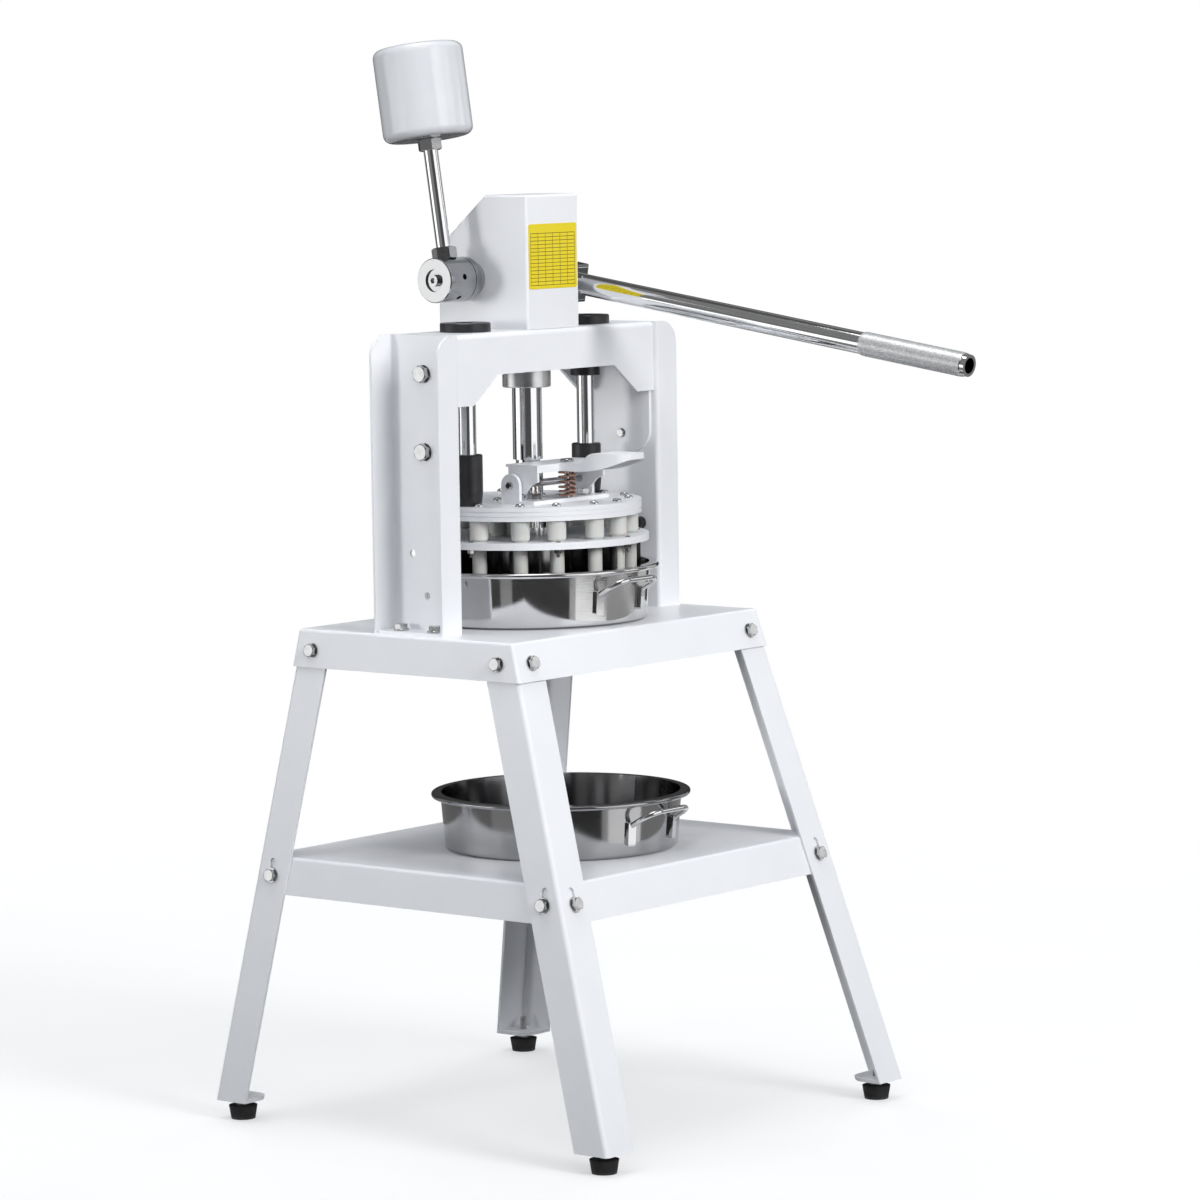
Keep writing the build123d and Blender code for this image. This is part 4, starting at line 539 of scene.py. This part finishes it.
paper, tree = empty_material("white_paper")
here = add_node(tree, "TexCoord").outputs["Object"]
seen = seen_directly(tree)
fibre = add_node(tree, "Group", {"Vector": here, "Scale": fibre_scale, "Low": paper_low,
                                 "High": paper_high}, node_tree=soft_cloud)
dimmed = add_node(tree, "MapRange", {"Value": seen, "To Min": bounce_share, "To Max": 1.0})
tone = add_node(tree, "Math", {0: fibre.outputs["Value"], 1: dimmed.outputs["Result"]}, operation="MULTIPLY")
matte = add_node(tree, "BsdfPrincipled", {"Base Color": tone.outputs[0], "Roughness": paper_rough,
                                          "Specular IOR Level": paper_shine})
glow = add_node(tree, "Emission", {"Color": full_white, "Strength": 1.0})
away = add_node(tree, "VectorMath", {0: here}, operation="LENGTH")
fade = add_node(tree, "MapRange", {"Value": away.outputs["Value"], "From Min": shadow_near,
                                   "From Max": shadow_far, "To Min": paper_glow, "To Max": 1.0},
                interpolation_type="SMOOTHSTEP")
share = add_node(tree, "Math", {0: fade.outputs["Result"], 1: seen}, operation="MULTIPLY")
blend = add_node(tree, "MixShader", {0: share.outputs[0], 1: matte.outputs["BSDF"],
                                     2: glow.outputs["Emission"]})
add_node(tree, "OutputMaterial", {"Surface": blend.outputs[0]})
print("paper", paper.name)

# %% Lay the floor
floor_reach, floor_points = 60.0, 9


def stage_sheet(name, grid, material):
    """Open sheet from one grid of points, which belongs to the studio and not to the object."""
    mesh = bpy.data.meshes.new(name)
    mesh.from_pydata(grid.reshape(-1, 3).tolist(), [], grid_faces((1, *grid.shape[:2]), 0, False).tolist())
    mesh.materials.append(material)
    sheet = bpy.data.objects.new(name, mesh)
    scene.collection.objects.link(sheet)
    return sheet


side = np.linspace(-floor_reach, floor_reach, floor_points)
floor_x, floor_y = np.meshgrid(side, side, indexing="ij")
stage_sheet("floor", np.stack([floor_x, floor_y, 0 * floor_x], axis=-1), paper)
print("floor", 2 * floor_reach, "m wide")

# %% [markdown]
# ## Lamps
# The room itself gives a soft, slightly blue light from all sides. A large key lamp at the
# front makes the front faces the brightest, a narrow spot on the left is aimed at the side
# of the housing, and the others fill. Only the top lamp shows in metal, because the cards
# of the next step are what the metal should mirror.

# %% Light the room and hang the lamps
room_light = (0.385, 0.412, 0.45, 1.0)
aim = Vector((0.0, ram_centre[1], 1.05))
mirrored_lamp = "top"
lamps = (  # name, place, width, watts, beam in degrees
    ("key", (-0.5, -4.3, 2.7), 2.2, 49.0, 100), ("top", (-0.6, 0.4, 4.4), 2.6, 54.0, 180),
    ("left_spot", (-3.9, 1.4, 1.05), 0.9, 3.4, 44), ("rear", (1.8, 3.6, 2.6), 2.4, 45.0, 180),
    ("camera_fill", (-2.9, -2.3, 2.0), 1.6, 6.4, 100), ("right_fill", (4.2, 0.6, 1.7), 2.2, 40.0, 180))
world = bpy.data.worlds.new("white_room")
scene.world = world
world.use_nodes = True
tree = world.node_tree
tree.nodes.clear()
soft = add_node(tree, "Background", {"Color": room_light, "Strength": 1.0})
white = add_node(tree, "Background", {"Color": full_white, "Strength": 1.0})
choice = add_node(tree, "MixShader", {0: seen_directly(tree), 1: soft.outputs[0], 2: white.outputs[0]})
add_node(tree, "OutputWorld", {"Surface": choice.outputs[0]})
for name, place, width, power, beam in lamps:
    lamp = bpy.data.lights.new(name, "AREA")
    lamp.shape, lamp.size, lamp.energy, lamp.spread = "DISK", width, power, math.radians(beam)
    holder = bpy.data.objects.new(name + "_lamp", lamp)
    holder.location = place
    holder.rotation_euler = (aim - Vector(place)).to_track_quat("-Z", "Y").to_euler()
    holder.visible_glossy = name == mirrored_lamp
    scene.collection.objects.link(holder)
print("lamps", len(lamps))

# %% [markdown]
# ## Cards for the reflections
# Polished steel in an all-white room would look like plaster. A photographer stands dark
# and bright cards around it, lays some on the floor and hangs some overhead, and so do
# we. They show in reflections only. Each card is a profile swept about the ram, between
# two angles that are counted from the camera's side.

# %% Shape the cards
card_facing = math.degrees(math.atan2(camera_place.y - ram_centre[1], camera_place.x))
card_reach, card_points = 3.2, 25
wall = ((card_reach, 0.02), (card_reach, 2.6))
low_wall = ((card_reach, 0.02), (card_reach, 1.25))
high_wall = ((card_reach, 1.25), (card_reach, 2.6))
band = ((card_reach - 0.05, 0.80), (card_reach - 0.05, 1.75))
floor_strip = ((1.0, 0.004), (2.6, 0.004))
floor_edge = ((2.6, 0.004), (card_reach - 0.02, 0.004))
floor_middle = ((0.0, 0.003), (1.0, 0.003))
ceiling = ((card_reach, 2.62), (2.2, 3.6), (1.1, 3.9))
hanging = ((2.75, 2.9), (2.45, 3.2))


def curved_card(name, start, end, strength, profile):
    """A profile of (reach, height) swept about the ram between two angles, glowing in mirrors only."""
    turn = np.radians(card_facing + np.linspace(start, end, card_points))[:, None]
    reach, rise = np.array(profile).T
    grid = np.stack([reach * np.cos(turn), ram_centre[1] + reach * np.sin(turn), 0 * turn + rise], axis=-1)
    paint, tree = empty_material(name)
    glow = add_node(tree, "Emission", {"Color": full_white, "Strength": strength})
    add_node(tree, "OutputMaterial", {"Surface": glow.outputs[0]})
    card = stage_sheet(name, grid, paint)
    for ray in ("camera", "diffuse", "transmission", "volume_scatter", "shadow"):
        setattr(card, "visible_" + ray, False)


print("cards stand", card_reach, "m away")

# %% Stand the cards around the object
cards = (  # name, first and last angle, strength, profile
    ("black_front", -15, 31, 0.08, wall), ("grey_left", -60, -15, 0.23, wall),
    ("softbox_left", -96, -60, 1.5, low_wall), ("above_left", -96, -60, 0.18, high_wall),
    ("black_rear_left", -118, -96, 0.06, wall), ("pale_back", -142, -118, 0.28, wall),
    ("black_back", -180, -142, 0.06, wall), ("softbox_right", 31, 80, 1.2, wall),
    ("grey_right", 80, 105, 0.20, wall), ("dark_right", 105, 126, 0.10, wall),
    ("pale_side", 126, 150, 0.50, wall), ("dark_rear_right", 150, 180, 0.06, wall),
    ("pale_right", 93, 111, 1.3, band),
    ("left_floor", -180, -67, 0.20, floor_strip), ("half_floor", -67, -40, 0.33, floor_strip),
    ("dark_floor", -40, -28, 0.05, floor_strip), ("grey_floor", -28, -17, 0.28, floor_strip),
    ("black_floor", -17, 38, 0.045, floor_strip), ("dim_floor", 38, 44, 0.45, floor_strip),
    ("white_floor", 44, 79, 1.1, floor_strip), ("right_floor", 79, 180, 0.30, floor_strip),
    ("floor_front", -67, 79, 0.06, floor_edge), ("floor_left", -180, -67, 0.80, floor_edge),
    ("floor_right", 79, 180, 0.30, floor_edge), ("floor_middle", -180, 180, 0.35, floor_middle),
    ("ceiling_back", -180, -135, 0.09, ceiling), ("ceiling_left", -135, 0, 0.20, ceiling),
    ("ceiling_right", 0, 180, 0.22, ceiling),
    ("hung_left", -118, -78, 0.75, hanging), ("hung_right", 112, 142, 0.75, hanging))
for card in cards:
    curved_card(*card)
print("cards", len(cards))

# %% [markdown]
# ## Hexagon heads, washers and threads
# Every bolt of the stand has a chamfered hexagon head on a washer, and its tail shows
# thread. A hexagon's reach at an angle is half its width across flats divided by the
# cosine of the angle from the nearest flat. A cone cuts its corners, which leaves the
# curved brows that make a bolt look like a bolt. A thread is a radius that follows a
# zigzag of the height less the turn.

# %% Shapes of fasteners
hex_step, thread_step = 5.0, 20.0
around_hex = np.radians(np.arange(0.0, 360.0, hex_step))
around_thread = np.radians(np.arange(0.0, 360.0, thread_step))
sixth_turn = math.pi / 3
brow_slope, brow_share = math.tan(math.radians(30)), 0.475
rows_per_pitch, thread_depth = 5, 0.54
upright_limit = 0.9


def from_rows(turn, rows):
    """Grid of points from rows of (radius, height), each a number or one value per turn."""
    radius = np.stack([np.broadcast_to(r, turn.shape) for r, z in rows], axis=1)
    height = np.stack([np.broadcast_to(z, turn.shape) for r, z in rows], axis=1)
    return np.stack([radius * np.cos(turn)[:, None], radius * np.sin(turn)[:, None], height], axis=-1)


def hexagon(flats, low, high, brow_below=False):
    """Hexagon prism whose corners are cut by a cone above, and below too for a nut."""
    reach = flats / 2 / np.cos((around_hex + sixth_turn / 2) % sixth_turn - sixth_turn / 2)
    rim = brow_share * flats
    brow = (reach - rim) * brow_slope
    foot = [(rim, low), (reach, low + brow)] if brow_below else [(reach, low)]
    return from_rows(around_hex, [(0, low), *foot, (reach, high - brow), (rim, high), (0, high)])


def washer(inner, outer, thick, edge=0.0003):
    """Flat ring with softly broken outer edges."""
    return from_rows(around_hex, [(inner, 0), (outer - edge, 0), (outer, edge), (outer, thick - edge),
                                  (outer - edge, thick), (inner, thick), (inner, 0)])


def thread(diameter, pitch, low, high):
    """Rod whose radius follows a zigzag of height over pitch less turn, fading into a cone at both ends."""
    height = np.linspace(low, high, int((high - low) / pitch * rows_per_pitch))
    wave = np.abs((height / pitch - around_thread[:, None] / (2 * math.pi)) % 1 - 0.5) * 2
    depth = thread_depth * pitch
    end = np.minimum(height - low, high - height)
    radius = np.minimum(diameter / 2 - depth * wave, diameter / 2 - depth + end)
    radius = np.pad(radius, ((0, 0), (1, 1)))
    height = np.broadcast_to(np.pad(height, 1, mode="edge"), radius.shape)
    turn = around_thread[:, None]
    return np.stack([radius * np.cos(turn), radius * np.sin(turn), height], axis=-1)


def set_at(shape, seats, axes, twists):
    """Copies of a grid, each turned by its twist about its own axis and moved to its seat."""
    lean = np.where(np.abs(axes[:, 2:]) > upright_limit, [cross_axis], [up_axis])
    first = np.cross(lean, axes)
    first /= np.linalg.norm(first, axis=1, keepdims=True)
    second = np.cross(axes, first)
    spun = (first * np.cos(twists)[:, None] + second * np.sin(twists)[:, None],
            second * np.cos(twists)[:, None] - first * np.sin(twists)[:, None], axes)
    ways = np.stack(spun, axis=1)
    return seats[:, None, None] + np.einsum("ghk,nkc->nghc", shape, ways)


print("points around a hexagon", len(around_hex), "and around a thread", len(around_thread))

# %% Bolts of the stand, the column feet, the crosshead and the latch bracket
m8_size, m8_flats, m8_pitch = 0.008, 0.013, 0.00125
m10_size, m10_flats, m10_pitch = 0.010, 0.017, 0.0015
washer_thick, washer_share, narrow_share = 0.0018, 0.66, 0.57
bolt_crease = 28.0
twist_seed = 11
hand_twist = np.random.default_rng(twist_seed)
for node, size, flats, pitch, body in (
        ("stand_bolts", m8_size, m8_flats, m8_pitch, "stand"),
        ("base_bolts", m8_size, m8_flats, m8_pitch, "stand"),
        ("crosshead_bolts", m10_size, m10_flats, m10_pitch, "stand"),
        ("bracket_bolts", m8_size, m8_flats, m8_pitch, "press_head")):
    seats, axes, heads, tails = fastener_seats(node)
    twists = hand_twist.uniform(0, sixth_turn, len(seats))
    head = hexagon(flats, washer_thick, washer_thick + heads[0])
    shank = thread(size, pitch, -tails[0], washer_thick)
    bolts = make_piece("dressed_" + node, [set_at(shape, seats, axes, twists) for shape in (head, shank)],
                       zinc_steel, body, bolt_crease)
    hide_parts(node)
    dark = node == "crosshead_bolts"
    ring = washer(size / 2, flats * (narrow_share if dark else washer_share), washer_thick)
    make_piece("washers_" + node, [set_at(ring, seats, axes, twists)], dark_steel if dark else zinc_steel,
               body, bolt_crease)

# %% [markdown]
# ## Small screws of the knife carrier
# Eight small screws hold the knives from above. Each has a low dome on top of the plate,
# and a washer, a nut and a bit of thread below it. All sit on one circle about the ram, so
# one set of grids is copied around it.

# %% Screw the knives to the carrier
carrier_low, carrier_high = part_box("knife_carrier")
screw_ring, screw_first, screw_count = 0.126, math.radians(9.1), 8
screw_size, screw_pitch, screw_hang = 0.004, 0.0007, 0.009
dome_rise, dome_share, crown_rise, crown_share = 0.0015, 0.8, 0.7, 0.62
small_flats, small_nut, small_washer, small_washer_share = 0.007, 0.0037, 0.0008, 1.05
screw_turn = screw_first + 2 * math.pi * np.arange(screw_count) / screw_count
screw_feet = np.stack([ram_centre[0] + screw_ring * np.cos(screw_turn),
                       ram_centre[1] + screw_ring * np.sin(screw_turn), 0 * screw_turn], axis=-1)
top, under = carrier_high.z, carrier_low.z
nut_top = under - small_washer
dome = from_rows(around_thread, [(0, top), (screw_size * dome_share, top),
                                 (screw_size * crown_share, top + crown_rise * dome_rise),
                                 (0, top + dome_rise)])
tail = thread(screw_size, screw_pitch, under - screw_hang, under)
nut = hexagon(small_flats, nut_top - small_nut, nut_top, True)
flat_ring = from_rows(around_thread, [(0, nut_top), (screw_size * small_washer_share, nut_top),
                                      (screw_size * small_washer_share, under), (0, under)])
upright = np.broadcast_to(np.array(up_axis), (screw_count, 3))
twists = hand_twist.uniform(0, sixth_turn, screw_count)
screw_grids = [set_at(shape, screw_feet, upright, twists) for shape in (dome, tail, nut, flat_ring)]
make_piece("carrier_screws", screw_grids, zinc_steel, "ram", bolt_crease)

# %% [markdown]
# ## Nuts and studs
# Nuts have brows on both ends, because either may be the one that shows. Nobody lines
# them up, so each is turned by its own random angle, with a fixed seed. The levelling
# studs are threaded over their whole length.

# %% Nuts behind the bolts, under the foot plates and on the arm of the weight
arm_flats = 0.024
for node, flats, body in (("m8_nuts", m8_flats, "stand"), ("foot_nuts", m8_flats, "stand"),
                          ("counterweight_nuts", arm_flats, "drive_shaft")):
    seats, axes, heads, tails = fastener_seats(node)
    shapes = [set_at(hexagon(flats, 0, height, True), seats[k:k + 1], axes[k:k + 1],
                     hand_twist.uniform(0, sixth_turn, 1)) for k, height in enumerate(heads)]
    nuts = make_piece("dressed_" + node, shapes, zinc_steel, body, bolt_crease)
    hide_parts(node)

# %% Threaded levelling studs
stud_crease = 50.0
stud_grids = []
for points in loose_solids("levelling_studs"):
    low, high = points.min(axis=0), points.max(axis=0)
    foot = np.array([[(low[0] + high[0]) / 2, (low[1] + high[1]) / 2, 0.0]])
    rod = thread(m8_size, m8_pitch, low[2], high[2])
    stud_grids.append(set_at(rod, foot, np.array([up_axis]), np.zeros(1)))
studs = make_piece("threaded_studs", stud_grids, zinc_steel, "stand", stud_crease)
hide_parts("levelling_studs")

# %% [markdown]
# ## The knurled grip
# The end of the handle is knurled so that a floury hand doesn't slip. Two sets of
# crossing grooves leave small pyramids. With the turn counted in diamonds and the length
# in the same steps, the sum and the difference of the two are the groove directions, and
# the height is the lower of the two zigzags.

# %% Find the end of the handle
bar_dip = math.radians(8.7)
tip_reach = 1e-5
bar_way = np.array([0.0, -math.cos(bar_dip), -math.sin(bar_dip)])
bar_points = np.concatenate(loose_solids("handle_bar"))
bar_along = bar_points @ bar_way
bar_tip = bar_points[bar_along > bar_along.max() - tip_reach]
tip_centre = (bar_tip.min(axis=0) + bar_tip.max(axis=0)) / 2
print("handle ends at", np.round(tip_centre, 4))

# %% Knurl the grip
grip_radius, grip_length, tip_margin = 0.0128, 0.134, 0.005
diamonds, steps, fade_rows = 36, 4, 6
tooth_height, skin, end_trim, end_sink = 0.00055, 0.00004, 0.0008, 0.0008
knurl_crease = 80.0


def zigzag(value):
    """Triangle wave from 0 to 1 and back over each whole step."""
    return 1 - np.abs((value % 1) - 0.5) * 2


turn = np.linspace(0, 2 * math.pi, diamonds * steps, endpoint=False)
rows = int(grip_length / (2 * math.pi * grip_radius / diamonds)) * steps
row = np.arange(rows + 1)
around, along = np.meshgrid(turn * diamonds / (2 * math.pi), row / steps, indexing="ij")
lift = np.minimum(zigzag(around + along), zigzag(around - along)) * tooth_height
fade = np.clip(np.minimum(row, rows - row) / fade_rows, 0, 1)
radius = np.pad(grip_radius + skin + lift * fade, ((0, 0), (1, 1)), constant_values=grip_radius - end_sink)
length = np.pad(np.linspace(-grip_length + end_trim, -end_trim, rows + 1), 1, mode="edge")
side_way = np.array(cross_axis)
rise_way = np.cross(bar_way, side_way)
outward = np.cos(turn)[:, None, None] * side_way + np.sin(turn)[:, None, None] * rise_way
knurl = tip_centre - tip_margin * bar_way + radius[..., None] * outward + length[None, :, None] * bar_way
make_piece("grip_knurl", [knurl[None]], knurled_steel, "drive_shaft", knurl_crease)

# %% [markdown]
# ## The latch spring
# A coil of copper-coloured wire holds the latch lever up. It is a circle carried along a
# helix, and the first and last turns lie flatter, as ground ends do. When the lever is
# pressed the lever's plate comes down.

# %% Wind the spring
spring_low, spring_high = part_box("latch_spring")
spring_centre = (spring_low + spring_high) / 2
wire, turns, per_turn, closing = 0.0027, 7, 36, 0.2
wire_sides = 14
coil_radius = (spring_high.x - spring_low.x - wire) / 2
share = np.linspace(0, 1, turns * per_turn + 1)
coil_height = spring_high.z - spring_low.z - wire
climb = coil_height * (share - closing * np.sin(2 * math.pi * share) / (2 * math.pi))
angle = 2 * math.pi * turns * share
line = np.stack([coil_radius * np.cos(angle), coil_radius * np.sin(angle), climb], axis=-1)
line += np.array([spring_centre.x, spring_centre.y, spring_low.z + wire / 2])
ahead = np.gradient(line, axis=0)
ahead /= np.linalg.norm(ahead, axis=1, keepdims=True)
outward = np.stack([np.cos(angle), np.sin(angle), 0 * angle], axis=-1)
upward = np.cross(ahead, outward)
ring = np.linspace(0, 2 * math.pi, wire_sides, endpoint=False)[:, None, None]
tube = line[None] + wire / 2 * (np.cos(ring) * outward + np.sin(ring) * upward)
ends = [np.broadcast_to(point, (wire_sides, 1, 3)) for point in (line[:1], line[-1:])]
coil = np.concatenate([ends[0], tube, ends[1]], axis=1)
spring = make_piece("latch_coil", [coil[None]], copper_wire, "press_head")
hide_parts("latch_spring")
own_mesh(spring)

# %% [markdown]
# ## The ruled plate
# A thin yellow plate with an empty table is stuck to the front of the gear housing. The
# plate is a grid with rounded corners, and its rows and columns are ruled by the material:
# the distance to the nearest line, measured in Object coordinates, switches the ink.

# %% Rule the plate's finish
plate_left, plate_width, plate_bottom, plate_top = -0.0425, 0.0836, 0.9213, 0.993
side_margin, foot_margin, head_margin = 0.0035, 0.004, 0.0105
row_count, column_count, line_half = 14, 6, 0.00034
plate_yellow, plate_ink = (0.80, 0.64, 0.008), (0.12, 0.075, 0.004)
plate_cloud, plate_gloss = 60.0, (0.28, 0.40)
plate_paint, tree = empty_material("ruled_plate")
here = add_node(tree, "TexCoord").outputs["Object"]
axes = add_node(tree, "SeparateXYZ", {0: here}).outputs


def join(first, second, operation):
    """Output of a Math node on two values or sockets."""
    return add_node(tree, "Math", {0: first, 1: second}, operation=operation).outputs[0]


def ruled(value, start, step):
    """One within half a line's width of start plus whole steps, else zero."""
    nearest = join(join(value, start, "SUBTRACT"), step / 2, "PINGPONG")
    return join(nearest, line_half, "LESS_THAN")


def between(value, low, high):
    """One between two limits, widened by half a line, else zero."""
    above = join(value, low - line_half, "GREATER_THAN")
    return join(above, join(value, high + line_half, "LESS_THAN"), "MULTIPLY")


table_left, table_right = plate_left + side_margin, plate_left + plate_width - side_margin
table_low, table_high = plate_bottom + foot_margin, plate_top - head_margin
lines = join(ruled(axes["Z"], table_low, (table_high - table_low) / row_count),
             ruled(axes["X"], table_left, (table_right - table_left) / column_count), "MAXIMUM")
table = join(between(axes["X"], table_left, table_right),
             between(axes["Z"], table_low, table_high), "MULTIPLY")
tint = mix_tones(tree, join(lines, table, "MULTIPLY"), plate_yellow, plate_ink)
sheen = add_node(tree, "Group", {"Vector": here, "Scale": plate_cloud, "Low": plate_gloss[0],
                                 "High": plate_gloss[1]}, node_tree=soft_cloud)
shader = add_node(tree, "BsdfPrincipled", {"Base Color": tint, "Roughness": sheen.outputs["Value"]})
add_node(tree, "OutputMaterial", {"Surface": shader.outputs[0]})
print("table", row_count, "rows", column_count, "columns")

# %% Shape the plate
plate_corner, plate_thick, outline_points = 0.003, 0.0004, 64
housing_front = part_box("gear_housing")[0].y
turn = np.linspace(0, 2 * math.pi, outline_points, endpoint=False)
ways = np.stack([np.cos(turn), np.sin(turn)], axis=-1)
half = np.array([plate_width / 2, (plate_top - plate_bottom) / 2])
outline = np.sign(ways) * (half - plate_corner) + plate_corner * ways
flat = outline[:, None] * np.array([0.0, 1.0, 1.0, 0.0])[None, :, None]
depth = np.broadcast_to(housing_front + plate_thick * np.array([0.0, 0.0, -1.0, -1.0]), flat.shape[:2])
plate_grid = np.stack([flat[..., 0] + plate_left + half[0], depth,
                       flat[..., 1] + (plate_bottom + plate_top) / 2], axis=-1)
make_piece("ruled_plate", [plate_grid[None]], plate_paint, "stand")
